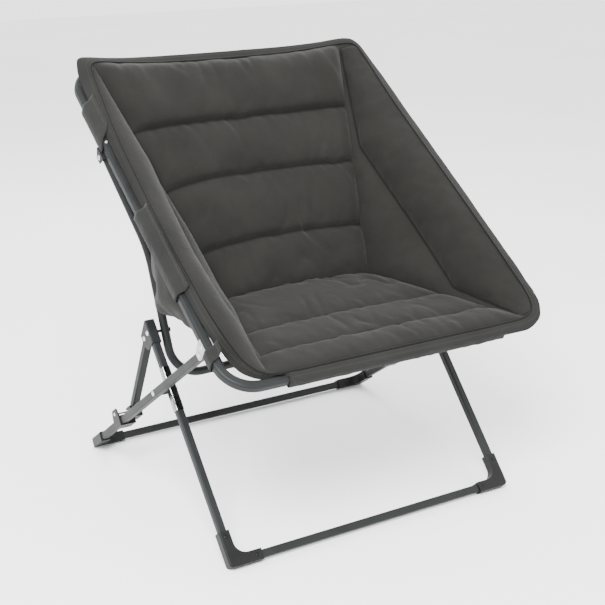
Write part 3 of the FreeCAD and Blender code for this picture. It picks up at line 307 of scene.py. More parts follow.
# Quilted panels: the cloth's grid, the channels with their crowns, and the creases at the seams
CELL = 0.008
SEAM_RISE = 0.002
OVERHANG = 0.45
BACK_SHARES = (0, 0.215, 0.49, 0.73, 1)
SEAT_SHARES = (0, 0.50, 0.79, 1)
BACK_LENGTH = 0.56
SEAT_LENGTH = 0.35
PAD_UNDER = 0.006
TUCK = 0.008
CREASE_TUCK = 0.012
LEAST_ROWS = 6
PAD_COLUMNS = 76
COLUMN_SPREAD = 0.14
CHANNEL_ROUND = 0.42
EDGE_ROUND = 0.035
UNEVEN = 0.22
UNEVEN_SPAN = 0.09
SEAM_WAVE = 0.0022
SEAM_WAVE_SPAN = 0.045
UNDER_SHARE = 0.24
PLEAT_DEPTH = 0.0060
PLEAT_REACH = 0.022
PLEAT_SPAN = 0.016
PLEAT_SKEW = 0.2
FOLD_DEPTH = 0.0065
FOLD_WIDTH = 0.10
FOLD_SPAN = 0.050
FOLD_SHARE = 0.35
FOLD_PATCH = 0.11


def channel_rows(shares, length):
    """Row places from 0 to 1 with a row on every seam, each row's place within its channel, and the seams."""
    places, within, seams = [0.0], [0.0], [0]
    for low, high in zip(shares, shares[1:]):
        count = max(LEAST_ROWS, round((high - low) * length / CELL))
        for k in range(1, count + 1):
            places.append(low + (high - low) * k / count)
            within.append(k / count)
        seams.append(len(places) - 1)
    within = np.array(within)
    within[seams] = 0
    return np.array(places), within, seams


def channelled_pad(name, edge, corner, shift, shares, crowns, length, toward, droop, seed):
    """Pad between the crease and an edge of the rim, with sewn channels across."""
    places, within, seams = channel_rows(shares, length)
    s = np.linspace(-1, 1, PAD_COLUMNS)
    s = s * (1 - COLUMN_SPREAD + COLUMN_SPREAD * s ** 2)
    t, s = np.meshgrid(places, s / s.max(), indexing="ij")
    end_x = s * corner[0] + shift * s ** 2
    end_u, end_n = edge(end_x)
    low = at(s * CREASE[0], CREASE[1], CREASE[2] + CREASE_BOW * (1 - s ** 2))
    high = at(end_x, end_u, end_n)
    ends = np.where(s < 0, droop[0], droop[1]) * np.abs(s) ** 3
    t = t - ends * np.sin(math.pi * t)
    base = low + (high - low) * t[..., None]
    facing = unit(toward[0] * ALONG + toward[1] * NORMAL)
    channel = np.clip(np.searchsorted(seams, np.arange(len(places)), side="left") - 1, 0, len(crowns) - 1)
    crown = np.array(crowns)[channel][:, None]
    q = within[:, None]
    bulge = crown * (4 * q * (1 - q)) ** CHANNEL_ROUND
    half_width = CREASE[0] + (corner[0] - CREASE[0]) * t
    from_side = (1 - np.abs(s)) * half_width
    edge_fall = np.sqrt(np.clip(from_side / EDGE_ROUND, 0, 1))
    uneven = 1 + UNEVEN * wander(base, UNEVEN_SPAN, seed)
    rise = SEAM_RISE * edge_fall + bulge * edge_fall * uneven
    seam_wave = SEAM_WAVE * wander(base, SEAM_WAVE_SPAN, seed + 5) * np.sin(math.pi * np.clip(t, 0, 1))
    slope = unit(high - low)
    base[0] -= CREASE_TUCK * slope[0]
    sag = OVERHANG * bulge * edge_fall
    top = base + rise[..., None] * facing + (seam_wave - sag)[..., None] * slope
    under = (PAD_UNDER + UNDER_SHARE * bulge) * edge_fall
    bottom = base - under[..., None] * facing
    uv = np.stack([s * half_width, np.repeat(places[:, None] * length, PAD_COLUMNS, 1)], -1)
    pad = pad_object(name, top, bottom, uv)
    sewn = np.zeros(t.shape, bool)
    sewn[seams, :] = True
    sewn[:, [0, -1]] = True
    free = np.flatnonzero(~sewn.ravel())
    near = np.min(np.abs(places[:, None] - places[seams][None]), 1)[:, None] * length
    strip = np.stack([s * half_width, t * PLEAT_SKEW, t * 0], -1)
    pleat = wander(strip, PLEAT_SPAN, seed + 9) * np.exp(-near / PLEAT_REACH) * (near > 0)
    fold = np.exp(-(wander(strip, FOLD_SPAN, seed + 13) / FOLD_WIDTH) ** 2)
    fold *= np.clip(wander(base, FOLD_PATCH, seed + 17) + FOLD_SHARE, 0, 1)
    gathers = (PLEAT_DEPTH * pleat - FOLD_DEPTH * fold) * edge_fall
    return pad, free, gathers[..., None] * facing


def gather(pad, shift):
    """Small pleats at the seams and slack folds across the channels."""
    place = get_points(pad)
    place[:shift.size // 3] += shift.reshape(-1, 3)
    set_points(pad, place)


# Sides: the lower panel, the seam, the roll along the rim, and the slack cloth outside, which bags under the sleeves
SIDE_FRONT_GAP = 0.006
SIDE_TOP_GAP = 0.004
SIDE_SEAM = 0.120
SIDE_SEAM_SHARE = 0.80
SIDE_FULL = 0.15
LOWER_COLUMNS = 14
ROLL_COLUMNS = 30
LOWER_CROWN = 0.016
LOWER_CROWN_SHARE = 0.16
LOWER_ROUND = 0.6
TUCK_DROP = 0.4
ROLL_START = 0.12
ROLL_INWARD = 0.026
ROLL_OVER = np.array([-0.034, 0.009])
SIDE_CLOTH = 0.003
SIDE_FALL = 0.42
BAG_FALL = 0.30
BAG_PLACE = 0.30
BAG_REACH = 0.10
BAG_OUT = 0.96
SIDE_SLACK = 0.010
SLACK_SPAN = 0.05
SLACK_STRETCH = np.array([0.5, 1, 1])
SIDE_RIPPLE = 0.0007
RIPPLE_SPAN = 0.03


def side_pad(name, side, seed):
    """Side of the sling: a lower panel, a seam, and a full roll along the rim."""
    u = np.arange(FRONT_CORNER[1] + SIDE_FRONT_GAP, TOP_CORNER[1] - SIDE_TOP_GAP, CELL)
    rim_x, rim_n = side_edge(u, piping_left if side < 0 else piping_right)
    toward_front = np.clip((CREASE[1] - u) / (CREASE[1] - FRONT_CORNER[1]), 0, 1)
    toward_top = np.clip((u - CREASE[1]) / (TOP_CORNER[1] - CREASE[1]), 0, 1)
    top_x = TOP_CORNER[0] + side * TOP_SHIFT
    front_x = FRONT_CORNER[0] + side * FRONT_SHIFT
    low_x = CREASE[0] + (front_x - CREASE[0]) * toward_front + (top_x - CREASE[0]) * toward_top
    low_n = CREASE[2] + (FRONT_CORNER[2] - CREASE[2]) * toward_front + (TOP_CORNER[2] - CREASE[2]) * toward_top
    rim = np.stack([rim_x, rim_n], 1)
    low = np.stack([low_x - TUCK, low_n - TUCK_DROP * TUCK], 1)
    chord = rim - low
    height = np.linalg.norm(chord, axis=1, keepdims=True)
    up = chord / height
    inward = np.stack([-up[:, 1], up[:, 0]], 1)
    full = np.minimum(1, height / SIDE_FULL)
    seam = rim - up * np.minimum(SIDE_SEAM, SIDE_SEAM_SHARE * height)
    a = np.linspace(0, 1, LOWER_COLUMNS, endpoint=False)[None, :, None]
    lower_crown = np.minimum(LOWER_CROWN, LOWER_CROWN_SHARE * np.linalg.norm(seam - low, axis=1, keepdims=True))
    lower = low[:, None] + (seam - low)[:, None] * a
    lower = lower + (inward * lower_crown)[:, None] * (4 * a * (1 - a)) ** LOWER_ROUND
    b = np.linspace(0, 1, ROLL_COLUMNS)[None, :, None]
    first = seam + (rim - seam) * ROLL_START + inward * ROLL_INWARD * full
    second = rim + ROLL_OVER * full
    upper = bezier(seam[:, None], first[:, None], second[:, None], rim[:, None], b)
    profile = np.concatenate([lower, upper], 1)
    rows, columns = profile.shape[:2]
    along = np.repeat(u[:, None], columns, 1)
    top = at(side * profile[..., 0], along, profile[..., 1])
    share = np.linspace(0, 1, columns)[None, :, None]
    low_back = low - inward * SIDE_CLOTH
    rim_back = rim - inward * SIDE_CLOTH
    fall = (SIDE_FALL + BAG_FALL * np.exp(-((u - BAG_PLACE) / BAG_REACH) ** 2))[:, None] * height
    hang = rim_back - np.array([0, 1]) * fall
    lift = low_back + np.array([BAG_OUT, 0]) * fall
    back_face = bezier(low_back[:, None], lift[:, None], hang[:, None], rim_back[:, None], share)
    bottom = at(side * back_face[..., 0], along, back_face[..., 1])
    slack = SIDE_SLACK * wander(bottom * SLACK_STRETCH, SLACK_SPAN, seed + 3) * np.sin(math.pi * share[..., 0])
    bottom = bottom + (slack * full)[..., None] * (NORMAL - side * ACROSS)
    span = row_lengths(profile)
    uv = np.stack([along, span - span[:, LOWER_COLUMNS:LOWER_COLUMNS + 1]], -1)
    ripple = SIDE_RIPPLE * wander(top, RIPPLE_SPAN, seed)
    ripple[:, [0, LOWER_COLUMNS, -1]] = 0
    top = top + ripple[..., None] * NORMAL
    pad = pad_object(name, top, bottom, uv)
    sewn = np.zeros((rows, columns), bool)
    sewn[[0, -1], :] = True
    sewn[:, [0, LOWER_COLUMNS, columns - 1]] = True
    free = np.flatnonzero(~sewn.ravel())
    return pad, free


# Hem: the cloth's columns, the one that lies on the seam, and how far it lifts and turns over
HEM_COLUMNS = 6
HEM_SEAM = 2
HEM_LIFT = 0.0016
HEM_SPAN = 0.05
HEM_TURN = 0.6
HEM_UNDERSIDE_UV = np.array([0, 0.1])


def band_loop(name, loops, thickness, seed):
    """Hem through closed loops, from its edge under the pads out to its outer edge, with a slow ripple."""
    tucked, seam, outer, over = loops
    share = np.linspace(0, 1, HEM_COLUMNS + 1)[1:, None]
    line = np.concatenate([tucked[:, None], (tucked[:, None] + seam[:, None]) / 2, seam[:, None],
                           seam[:, None] + (outer - seam)[:, None] * share,
                           outer[:, None] * (1 - HEM_TURN) + over[:, None] * HEM_TURN, over[:, None]], 1)
    place = at(line[..., 0], line[..., 1], line[..., 2])
    columns = line.shape[1]
    free = np.zeros(columns)
    free[HEM_SEAM + 1:HEM_SEAM + 1 + HEM_COLUMNS] = share[:, 0]
    lift = HEM_LIFT * (np.sin(math.pi * free) + wander(place, HEM_SPAN, seed) * free)
    top = place + lift[..., None] * NORMAL
    bottom = top - thickness * NORMAL
    length = run_length(place[:, HEM_SEAM])
    across = row_lengths(place)
    uv = np.stack([np.repeat(length[:, None], columns, 1), across - across[:, HEM_SEAM:HEM_SEAM + 1]], -1)
    flat = (float(across[:, -1].mean()), float(length[-1]))
    rows = len(seam)
    count = rows * columns
    faces = grid_faces(rows, columns, closed=True)
    faces += [f[::-1] for f in grid_faces(rows, columns, count, closed=True)]
    for r in range(rows):
        below = (r + 1) % rows
        for c in (0, columns - 1):
            a, b = r * columns + c, below * columns + c
            faces.append((a, b, b + count, a + count))
    points = np.concatenate([top.reshape(-1, 3), bottom.reshape(-1, 3)])
    uv = np.concatenate([uv.reshape(-1, 2), uv.reshape(-1, 2) + HEM_UNDERSIDE_UV])
    return add_object(name, points, faces, uv), flat


SAME_PLACE = 1e-6


def cord_loop(name, loop, radius, sides=8):
    """Round piping along a closed loop."""
    centre = at(loop[:, 0], loop[:, 1], loop[:, 2])
    ahead = unit(np.roll(centre, -1, 0) - np.roll(centre, 1, 0))
    sideways = unit(np.cross(ahead, NORMAL))
    upward = np.cross(sideways, ahead)
    turn = np.linspace(0, 2 * math.pi, sides + 1)
    ring = (np.cos(turn)[None, :, None] * sideways[:, None] + np.sin(turn)[None, :, None] * upward[:, None])
    points = centre[:, None] + ring * radius
    length = run_length(centre)
    uv = np.stack([np.repeat(length[:, None], sides + 1, 1), np.repeat(turn[None] * radius, len(loop), 0)], -1)
    thing = add_object(name, points.reshape(-1, 3), grid_faces(len(loop), sides + 1, closed=True),
                       uv.reshape(-1, 2))
    work = bmesh.new()
    work.from_mesh(thing.data)
    bmesh.ops.remove_doubles(work, verts=work.verts, dist=SAME_PLACE)
    work.to_mesh(thing.data)
    work.free()
    return thing


# Sleeves and straps: the cloth's grid and its creases
WRAP_COLUMNS = 40
WRAP_ROWS = 8
WRAP_CELL = 0.006
WRAP_THICKNESS = 0.0018
BROAD_CREASE = 0.0013
BROAD_SPAN = 0.022
FINE_CREASE = 0.0010
FINE_SPAN = 0.009


def wrap(name, section, first, last, place, seed):
    """Cloth wrapped round a tube: section is its line round the tube, first and last where each point starts
    and ends along it."""
    line = smooth_line(np.column_stack([section, first, last]), WRAP_COLUMNS)
    rows = max(WRAP_ROWS, int(np.mean(line[:, 3] - line[:, 2]) / WRAP_CELL))
    share = np.linspace(0, 1, rows)[:, None]
    along = line[None, :, 2] + (line[None, :, 3] - line[None, :, 2]) * share
    points = place(np.repeat(line[None, :, 0], rows, 0), np.repeat(line[None, :, 1], rows, 0), along)
    creases = BROAD_CREASE * wander(points, BROAD_SPAN, seed) + FINE_CREASE * wander(points, FINE_SPAN, seed + 2)
    outward = unit(points - points.mean(1, keepdims=True))
    points = points + outward * np.abs(creases)[..., None]
    run = run_length(line[:, :2])
    uv = np.stack([along, np.repeat(run[None], rows, 0)], -1)
    thing = add_object(name, points.reshape(-1, 3), grid_faces(rows, WRAP_COLUMNS), uv.reshape(-1, 2))
    thick = thing.modifiers.new("cloth", "SOLIDIFY")
    thick.thickness = WRAP_THICKNESS
    thick.offset = 0
    apply_modifiers(thing)
    flat = (float(np.mean(line[:, 3] - line[:, 2])), float(run[-1]))
    return thing, flat


# Materials
def new_material(name):
    material = bpy.data.materials.new(name)
    material.use_nodes = True
    tree = material.node_tree
    return material, tree, tree.nodes["Principled BSDF"]


def add_node(tree, kind, **values):
    node = tree.nodes.new(kind)
    for key, value in values.items():
        if key in node.inputs:
            node.inputs[key].default_value = value
        else:
            setattr(node, key, value)
    return node


def noise_node(tree, where, scale, detail=3, roughness=0.5):
    node = add_node(tree, "ShaderNodeTexNoise", Scale=scale, Detail=detail, Roughness=roughness)
    tree.links.new(where, node.inputs["Vector"])
    return node.outputs["Fac"]


def ramp(tree, value, low, high, low_at=0.3, high_at=0.7):
    node = tree.nodes.new("ShaderNodeValToRGB")
    node.color_ramp.elements[0].position = low_at
    node.color_ramp.elements[0].color = (*low, 1)
    node.color_ramp.elements[1].position = high_at
    node.color_ramp.elements[1].color = (*high, 1)
    tree.links.new(value, node.inputs["Fac"])
    return node.outputs["Color"]


def bump(tree, height, strength, distance, under=None):
    node = add_node(tree, "ShaderNodeBump", Strength=strength, Distance=distance)
    tree.links.new(height, node.inputs["Height"])
    if under is not None:
        tree.links.new(under, node.inputs["Normal"])
    return node.outputs["Normal"]


def maths(tree, operation, a, b):
    node = tree.nodes.new("ShaderNodeMath")
    node.operation = operation
    for socket, value in zip(node.inputs, (a, b)):
        if isinstance(value, (int, float)):
            socket.default_value = value
        else:
            tree.links.new(value, socket)
    return node.outputs[0]


def object_place(tree):
    return tree.nodes.new("ShaderNodeTexCoord").outputs["Object"]


def grey(value):
    return (value,) * 3


def tint(tree, colour, factor, shade):
    """Colour turned toward a shade by a factor."""
    mix = tree.nodes.new("ShaderNodeMix")
    mix.data_type = "RGBA"
    tree.links.new(factor, mix.inputs["Factor"])
    tree.links.new(colour, mix.inputs["A"])
    mix.inputs["B"].default_value = (*shade, 1)
    return mix.outputs["Result"]


def weighted(tree, a, a_weight, b, b_weight):
    return maths(tree, "ADD", maths(tree, "MULTIPLY", a, a_weight), maths(tree, "MULTIPLY", b, b_weight))


def wave(tree, value, period):
    return maths(tree, "SINE", maths(tree, "MULTIPLY", value, 2 * math.pi / period), 0)


def away(tree, value, row):
    return maths(tree, "ABSOLUTE", maths(tree, "SUBTRACT", value, row), 0)


# Stitches, painted shadow along the seams, and what each layer adds to the cloth's tone
STITCH_WIDTH = 0.0007
STITCH_PITCH = 0.0036
STITCH_GAP = -0.45
STITCH_LIGHT = 1.35
PAINTED_SEAM_SHADOW_PEAK = 0.85
PAINTED_SEAM_SHADOW_FALL = 150
PAINTED_SEAM_SHADOW_DARK = 0.3
CLOUD_WEIGHT = 0.6
SLUB_WEIGHT = 0.4
WEAVE_WEIGHT = 0.05
WEAVE_RELIEF = 0.5


def cloth_material(name, dark, light, thread, stitches=(), seams=(), sheen=0.055):
    """Woven cloth: threads over and under, uneven dye, soft sheen, rows of stitches on a hem, and painted shadow that
    darkens the colour toward each seam.
    """
    material, tree, shader = new_material(name)
    uv = tree.nodes.new("ShaderNodeUVMap")
    uv.uv_map = "cloth"
    split = tree.nodes.new("ShaderNodeSeparateXYZ")
    tree.links.new(uv.outputs["UV"], split.inputs[0])
    along, across = split.outputs["X"], split.outputs["Y"]
    place = object_place(tree)
    weave = maths(tree, "MULTIPLY", wave(tree, along, thread), wave(tree, across, thread))
    cloudy = noise_node(tree, place, scale=9, detail=4, roughness=0.6)
    slub = noise_node(tree, place, scale=260, detail=3, roughness=0.65)
    crumple = noise_node(tree, place, scale=38, detail=3, roughness=0.55)
    shade = weighted(tree, cloudy, CLOUD_WEIGHT, slub, SLUB_WEIGHT)
    shade = maths(tree, "ADD", shade, maths(tree, "MULTIPLY", weave, WEAVE_WEIGHT))
    colour = ramp(tree, shade, dark, light, low_at=0.34, high_at=0.66)
    surface = maths(tree, "ADD", maths(tree, "MULTIPLY", weave, WEAVE_RELIEF), slub)
    normal = bump(tree, surface, strength=0.25, distance=0.0006)
    normal = bump(tree, crumple, strength=0.22, distance=0.004, under=normal)
    for row in stitches:
        line = maths(tree, "LESS_THAN", away(tree, across, row), STITCH_WIDTH)
        dash = maths(tree, "GREATER_THAN", wave(tree, along, STITCH_PITCH), STITCH_GAP)
        stitch = maths(tree, "MULTIPLY", line, dash)
        colour = tint(tree, colour, stitch, [value * STITCH_LIGHT for value in light])
        normal = bump(tree, stitch, strength=0.5, distance=0.0008, under=normal)
    # Painted shade: the colour darkens toward each seam row, standing for the shadow where the channel above overhangs
    # the seam.
    for row in seams:
        fall = maths(tree, "MULTIPLY", away(tree, across, row), PAINTED_SEAM_SHADOW_FALL)
        painted_seam_shadow = maths(tree, "MAXIMUM", maths(tree, "SUBTRACT", PAINTED_SEAM_SHADOW_PEAK, fall), 0)
        colour = tint(tree, colour, painted_seam_shadow, [value * PAINTED_SEAM_SHADOW_DARK for value in dark])
    tree.links.new(colour, shader.inputs["Base Color"])
    tree.links.new(normal, shader.inputs["Normal"])
    rough = ramp(tree, slub, grey(0.82), grey(0.95))
    tree.links.new(rough, shader.inputs["Roughness"])
    shader.inputs["Sheen Weight"].default_value = sheen
    shader.inputs["Sheen Roughness"].default_value = 0.45
    shader.inputs["Specular IOR Level"].default_value = 0.10
    return material


def paint_material(name, dark, light):
    """Satin powder coat: fine orange peel, slight wear and dust."""
    material, tree, shader = new_material(name)
    place = object_place(tree)
    broad = noise_node(tree, place, scale=14, detail=4, roughness=0.6)
    fine = noise_node(tree, place, scale=900, detail=2, roughness=0.5)
    colour = ramp(tree, broad, dark, light)
    tree.links.new(colour, shader.inputs["Base Color"])
    rough = ramp(tree, broad, grey(0.46), grey(0.58))
    tree.links.new(rough, shader.inputs["Roughness"])
    tree.links.new(bump(tree, fine, strength=0.12, distance=0.0004), shader.inputs["Normal"])
    shader.inputs["Metallic"].default_value = 0.15
    shader.inputs["Specular IOR Level"].default_value = 0.18
    shader.inputs["Coat Weight"].default_value = 0.03
    shader.inputs["Coat Roughness"].default_value = 0.3
    return material


def plastic_material(name, dark, light, rough_low, rough_high):
    """Moulded plastic with a fine spark-eroded grain."""
    material, tree, shader = new_material(name)
    place = object_place(tree)
    broad = noise_node(tree, place, scale=22, detail=3, roughness=0.6)
    grain = noise_node(tree, place, scale=1400, detail=2, roughness=0.6)
    tree.links.new(ramp(tree, broad, dark, light), shader.inputs["Base Color"])
    tree.links.new(ramp(tree, grain, grey(rough_low), grey(rough_high)), shader.inputs["Roughness"])
    tree.links.new(bump(tree, grain, strength=0.25, distance=0.0003), shader.inputs["Normal"])
    shader.inputs["Specular IOR Level"].default_value = 0.14
    return material


SPANGLE_WEIGHT = 0.5
DULL_WEIGHT = 0.6


def metal_material(name, dark, light, rough_low, rough_high, spangle):
    """Bright metal: plating spangle or turned rivet heads, with dulled patches."""
    material, tree, shader = new_material(name)
    place = object_place(tree)
    cells = add_node(tree, "ShaderNodeTexVoronoi", Scale=spangle)
    tree.links.new(place, cells.inputs["Vector"])
    broad = noise_node(tree, place, scale=60, detail=4, roughness=0.6)
    value = weighted(tree, cells.outputs["Distance"], SPANGLE_WEIGHT, broad, DULL_WEIGHT)
    tree.links.new(ramp(tree, value, dark, light), shader.inputs["Base Color"])
    tree.links.new(ramp(tree, broad, grey(rough_low), grey(rough_high)), shader.inputs["Roughness"])
    tree.links.new(bump(tree, broad, strength=0.06, distance=0.0005), shader.inputs["Normal"])
    shader.inputs["Metallic"].default_value = 1.0
    return material


CLOTH_DARK = (0.0076, 0.0075, 0.0068)
CLOTH_LIGHT = (0.0124, 0.0121, 0.0109)
PAD_THREAD = 0.0016
SLEEVE_THREAD = 0.0014
CORD_THREAD = 0.0012
HEM_STITCHES = (0.004, 0.013)
SLEEVE_STITCHES = (0.006, 0.075)
quilted = cloth_material("quilted_cloth", CLOTH_DARK, CLOTH_LIGHT, PAD_THREAD, seams=(0,))
back_cloth = cloth_material("back_cloth", CLOTH_DARK, CLOTH_LIGHT, PAD_THREAD,
                            seams=[share * BACK_LENGTH for share in BACK_SHARES[1:-1]])
seat_cloth = cloth_material("seat_cloth", CLOTH_DARK, CLOTH_LIGHT, PAD_THREAD,
                            seams=[share * SEAT_LENGTH for share in SEAT_SHARES[1:-1]])
hemmed = cloth_material("hem_cloth", (0.0098, 0.0099, 0.0093), (0.0152, 0.0152, 0.0142), PAD_THREAD,
                        HEM_STITCHES, sheen=0.008)
sleeved = cloth_material("sleeve_cloth", (0.0096, 0.0099, 0.0096), (0.0152, 0.0153, 0.0145), SLEEVE_THREAD,
                         SLEEVE_STITCHES)
# Piping cord: a real cord, coloured darker than the other cloths, so it also paints the shadow in the gap between the
# hem and the pads.
piping_painted_shadow = cloth_material("piping_cloth_painted_shadow", (0.0036, 0.0036, 0.0034), (0.0064, 0.0064, 0.0060), CORD_THREAD)
finishes = {
    "painted_tube": paint_material("painted_tube", (0.0062, 0.0070, 0.0072), (0.0105, 0.0117, 0.0119)),
    "black_plastic": plastic_material("black_plastic", (0.0035, 0.0036, 0.0038), (0.0070, 0.0072, 0.0075),
                                      rough_low=0.36, rough_high=0.54),
    "white_bush": plastic_material("white_bush", (0.016, 0.016, 0.0165), (0.026, 0.026, 0.0265),
                                   rough_low=0.40, rough_high=0.55),
    "zinc_plate": metal_material("zinc_plate", (0.30, 0.305, 0.305), (0.48, 0.48, 0.475),
                                 rough_low=0.28, rough_high=0.44, spangle=240),
    "rivet_steel": metal_material("rivet_steel", grey(0.40), (0.60, 0.60, 0.59),
                                  rough_low=0.22, rough_high=0.36, spangle=500),
    "quilted_cloth": quilted,
    "sleeve_cloth": sleeved,
}
blackened = metal_material("black_rivet", grey(0.010), grey(0.022), rough_low=0.40, rough_high=0.55, spangle=500)
chromed = metal_material("chrome_sleeve", (0.13, 0.135, 0.135), (0.26, 0.265, 0.265),
                         rough_low=0.14, rough_high=0.24, spangle=240)
special = {"front_foot_rivets": blackened, "rear_foot_rivets": blackened, "back_frame_pivots": blackened,
           "crossing_sleeve_left": chromed, "crossing_sleeve_right": chromed}
for entry in frame["record"]["subparts"]:
    thing = nodes[entry["node"]]
    thing.data.materials.clear()
    thing.data.materials.append(special.get(entry["node"], finishes[entry["material_slot"]]))


def finish_piece(thing, material, slot, *replaced, keep):
    """Gives a piece its cloth, attaches it to the seat hoop, hides the parts it replaces, and gives it a mesh of its
    own.
    """
    thing.data.materials.clear()
    thing.data.materials.append(material)
    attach(thing, "seat_hoop")
    if replaced:
        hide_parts(*replaced)
    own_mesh(thing)


SOFT_KEEP = 0.06
HEM_KEEP = 0.6
back_pad, back_free, back_gathers = channelled_pad(
    "sling_back_pad", top_edge, TOP_CORNER, TOP_SHIFT, BACK_SHARES, crowns=(0.020, 0.021, 0.022, 0.031),
    length=BACK_LENGTH, toward=(-0.32, 0.95), droop=(0.045, 0.012), seed=11)
seat_pad, seat_free, seat_gathers = channelled_pad(
    "sling_seat_pad", front_edge, FRONT_CORNER, FRONT_SHIFT, SEAT_SHARES, crowns=(0.012, 0.013, 0.013),
    length=SEAT_LENGTH, toward=(0.48, 0.88), droop=(0.0, 0.0), seed=23)
left_pad, left_free = side_pad("sling_left_pad", side=-1, seed=37)
right_pad, right_free = side_pad("sling_right_pad", side=1, seed=51)
puff(back_pad, back_free, pressure=5.0, slack=0.06, cap=0.016)
puff(seat_pad, seat_free, pressure=3.0, slack=0.05, cap=0.010)
puff(left_pad, left_free, pressure=2.0, slack=0.0, cap=0.006)
puff(right_pad, right_free, pressure=2.5, slack=0.005, cap=0.008)
for pad, free in ((back_pad, back_free), (seat_pad, seat_free), (left_pad, left_free), (right_pad, right_free)):
    soften(pad, free, passes=1)
gather(back_pad, back_gathers)
gather(seat_pad, seat_gathers)
for pad, cloth, solid in ((back_pad, back_cloth, "sling_back"), (seat_pad, seat_cloth, "sling_seat"),
                          (left_pad, quilted, "sling_side_left"), (right_pad, quilted, "sling_side_right")):
    subdivide(pad)
    finish_piece(pad, cloth, "quilted_cloth", solid, keep=SOFT_KEEP)

# Hem and piping: the hem starts under the pads and turns over at its outer edge, further on the right
RIM_MIDDLE = np.array([0, 0.44, 0])
HEM_TUCK = 0.016
HEM_LIP = 0.001
HEM_THICKNESS = 0.0026
HEM_SINK = np.array([0, 0, 0.006])
RIGHT_LIP = 0.003
RIGHT_START = 0.24
RIGHT_EASE = 0.06
PIPING_RADIUS = 0.0024
PIPING_RISE = np.array([0, 0, 0.0006])
piping_loop = full_loop(piping_right, piping_left)
hem_loop = full_loop(hem_right, hem_left)
outward = unit((piping_loop - RIM_MIDDLE) * np.array([1, 1, 0]))
tucked_loop = piping_loop - HEM_TUCK * outward - HEM_SINK
on_right = np.clip((hem_loop[:, :1] - RIGHT_START) / RIGHT_EASE, 0, 1)
over_loop = hem_loop + HEM_LIP * outward - np.array([0, 0, HEM_LIP])
over_loop = over_loop + on_right * (RIGHT_LIP * outward - HEM_SINK)
hem, hem_flat = band_loop("sling_hem", (tucked_loop, piping_loop, hem_loop, over_loop), HEM_THICKNESS, seed=61)
finish_piece(hem, hemmed, "quilted_cloth", keep=HEM_KEEP)
cord = cord_loop("sling_piping", piping_loop + PIPING_RISE, PIPING_RADIUS)
finish_piece(cord, piping_painted_shadow, "quilted_cloth", keep=HEM_KEEP)

# Sleeves and straps: each line runs round its tube from the hem, measured from the tube's middle
UNDER_TUBE = [(.0108, -.0096), (0, -.0124), (-.0105, -.0104), (-.0118, -.002), (-.0108, .005)]
LEFT_LINE = np.array([(-.0072, .0285), (-.0058, .0230), (-.0030, .0172), (.0040, .0142), (.0106, .0100),
                      (.0122, 0)] + UNDER_TUBE)
TAB_LINE = np.array([(-.0125, .0268), (-.0085, .0230), (-.0040, .0182), (.0020, .0150), (.0085, .0118),
                     (.0122, .002)] + UNDER_TUBE)
RIGHT_LINE = np.array([(.0085, .0100), (.0110, .0085), (.0125, .0055), (.0132, .0015), (.0130, -.003),
                       (.0122, -.0065)] + UNDER_TUBE)
FACE_RUN = 0.036


def side_wrap(name, side, line, inner, outer, seed):
    """Cloth round a side tube: inner and outer are its range along the hoop at its hem edge and its outer edge."""
    round_tube = np.clip(run_length(line) / FACE_RUN, 0, 1)
    first = inner[0] + (outer[0] - inner[0]) * round_tube
    last = inner[1] + (outer[1] - inner[1]) * round_tube

    def place(x, n, u):
        return at(side * (HOOP_SIDE + x), u, n)

    return wrap(name, line, first, last, place, seed)


def bar_wrap(name, section, centre, half, seed):
    """Cloth round the front or top bar."""
    ends = np.full(len(section), half)

    def place(u, n, x):
        return at(x, centre + u, n)

    return wrap(name, section, -ends, ends, place, seed)


def dress(made, solid):
    """Finishes a sleeve or strap: gives it the sleeve cloth, attaches it to the seat hoop and hides the part it
    replaces.
    """
    thing, size = made
    finish_piece(thing, sleeved, "sleeve_cloth", solid, keep=1)


FRONT_LINE = np.array([(.020, .0080), (.010, .0112), (0, .0118), (-.0090, .0102), (-.0122, .002), (-.0112, -.0088),
                       (0, -.0124), (.0105, -.0108), (.0125, -.003), (.0170, -.001)])
TOP_LINE = np.array([(.0165, .0120), (.0150, .0105), (.0128, .004), (.0122, -.004), (.0095, -.0108), (0, -.0124),
                     (-.0105, -.0104), (-.0122, -.002), (-.0150, .001)])
HOOP_LENGTH = 0.851
FRONT_HALF = 0.243
TOP_HALF = 0.280
SLEEVE_INNER, SLEEVE_OUTER = (0.225, 0.440), (0.222, 0.436)
UPPER_INNER, UPPER_OUTER = (0.668, 0.758), (0.622, 0.742)
LOWER_INNER, LOWER_OUTER = (0.072, 0.094), (0.058, 0.090)
for label, side, seed, line, tab in (("left", -1, 71, LEFT_LINE, TAB_LINE),
                                     ("right", 1, 83, RIGHT_LINE, RIGHT_LINE)):
    dress(side_wrap(f"side_sleeve_{label}", side, line, SLEEVE_INNER, SLEEVE_OUTER, seed),
          f"sleeve_{label}")
    dress(side_wrap(f"upper_strap_{label}", side, tab, UPPER_INNER, UPPER_OUTER, seed + 1),
          f"strap_upper_{label}")
    dress(side_wrap(f"lower_strap_{label}", side, line, LOWER_INNER, LOWER_OUTER, seed + 2),
          f"strap_lower_{label}")
dress(bar_wrap("front_sleeve", FRONT_LINE, 0, FRONT_HALF, seed=91), "sleeve_front")
dress(bar_wrap("top_sleeve", TOP_LINE, HOOP_LENGTH, TOP_HALF, seed=97), "sleeve_top")

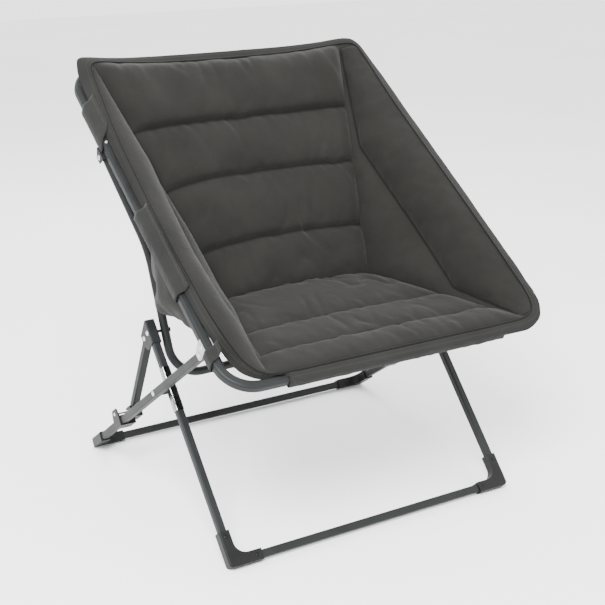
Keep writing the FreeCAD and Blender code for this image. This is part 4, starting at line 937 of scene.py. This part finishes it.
# Floor, light and camera
FLOOR_HALF = 9
STUDIO_STRENGTH = 2.6
floor_mesh = bpy.data.meshes.new("floor")
floor_mesh.from_pydata([(-FLOOR_HALF, -FLOOR_HALF, 0), (FLOOR_HALF, -FLOOR_HALF, 0),
                        (FLOOR_HALF, FLOOR_HALF, 0), (-FLOOR_HALF, FLOOR_HALF, 0)], [], [(0, 1, 2, 3)])
floor = bpy.data.objects.new("floor", floor_mesh)
scene.collection.objects.link(floor)
pale, tree, shader = new_material("pale_floor")
shade = noise_node(tree, object_place(tree), scale=1.2, detail=3, roughness=0.5)
tree.links.new(ramp(tree, shade, grey(0.86), grey(0.90)), shader.inputs["Base Color"])
shader.inputs["Roughness"].default_value = 0.8
floor_mesh.materials.append(pale)

world = bpy.data.worlds.new("studio")
scene.world = world
world.use_nodes = True
background = world.node_tree.nodes["Background"]
background.inputs["Color"].default_value = (1, 1, 1, 1)
background.inputs["Strength"].default_value = STUDIO_STRENGTH


def area_light(name, place, target, size, power):
    data = bpy.data.lights.new(name, "AREA")
    data.shape = "DISK"
    data.size = size
    data.energy = power
    lamp = bpy.data.objects.new(name, data)
    lamp.location = place
    lamp.rotation_euler = (Vector(target) - Vector(place)).to_track_quat("-Z", "Y").to_euler()
    scene.collection.objects.link(lamp)


area_light("key", (-1.6, -1.8, 2.8), target=(0, 0, 0.4), size=1.6, power=330)
area_light("fill", (2.6, -1.6, 1.6), target=(0, 0, 0.4), size=2.2, power=35)
area_light("rim", (0.4, 2.4, 2.4), target=(0, 0, 0.5), size=1.8, power=60)

LENS = 71.12
SENSOR = 36
CAMERA_PLACE = (-1.2086, -2.0764, 1.250)
CAMERA_TILT = math.radians(90 - 19.606)
CAMERA_TURN = math.radians(-30.17)
camera_data = bpy.data.cameras.new("photo_camera")
camera_data.lens = LENS
camera_data.sensor_width = SENSOR
camera = bpy.data.objects.new("photo_camera", camera_data)
camera.location = CAMERA_PLACE
camera.rotation_euler = (CAMERA_TILT, 0, CAMERA_TURN)
scene.collection.objects.link(camera)
scene.camera = camera
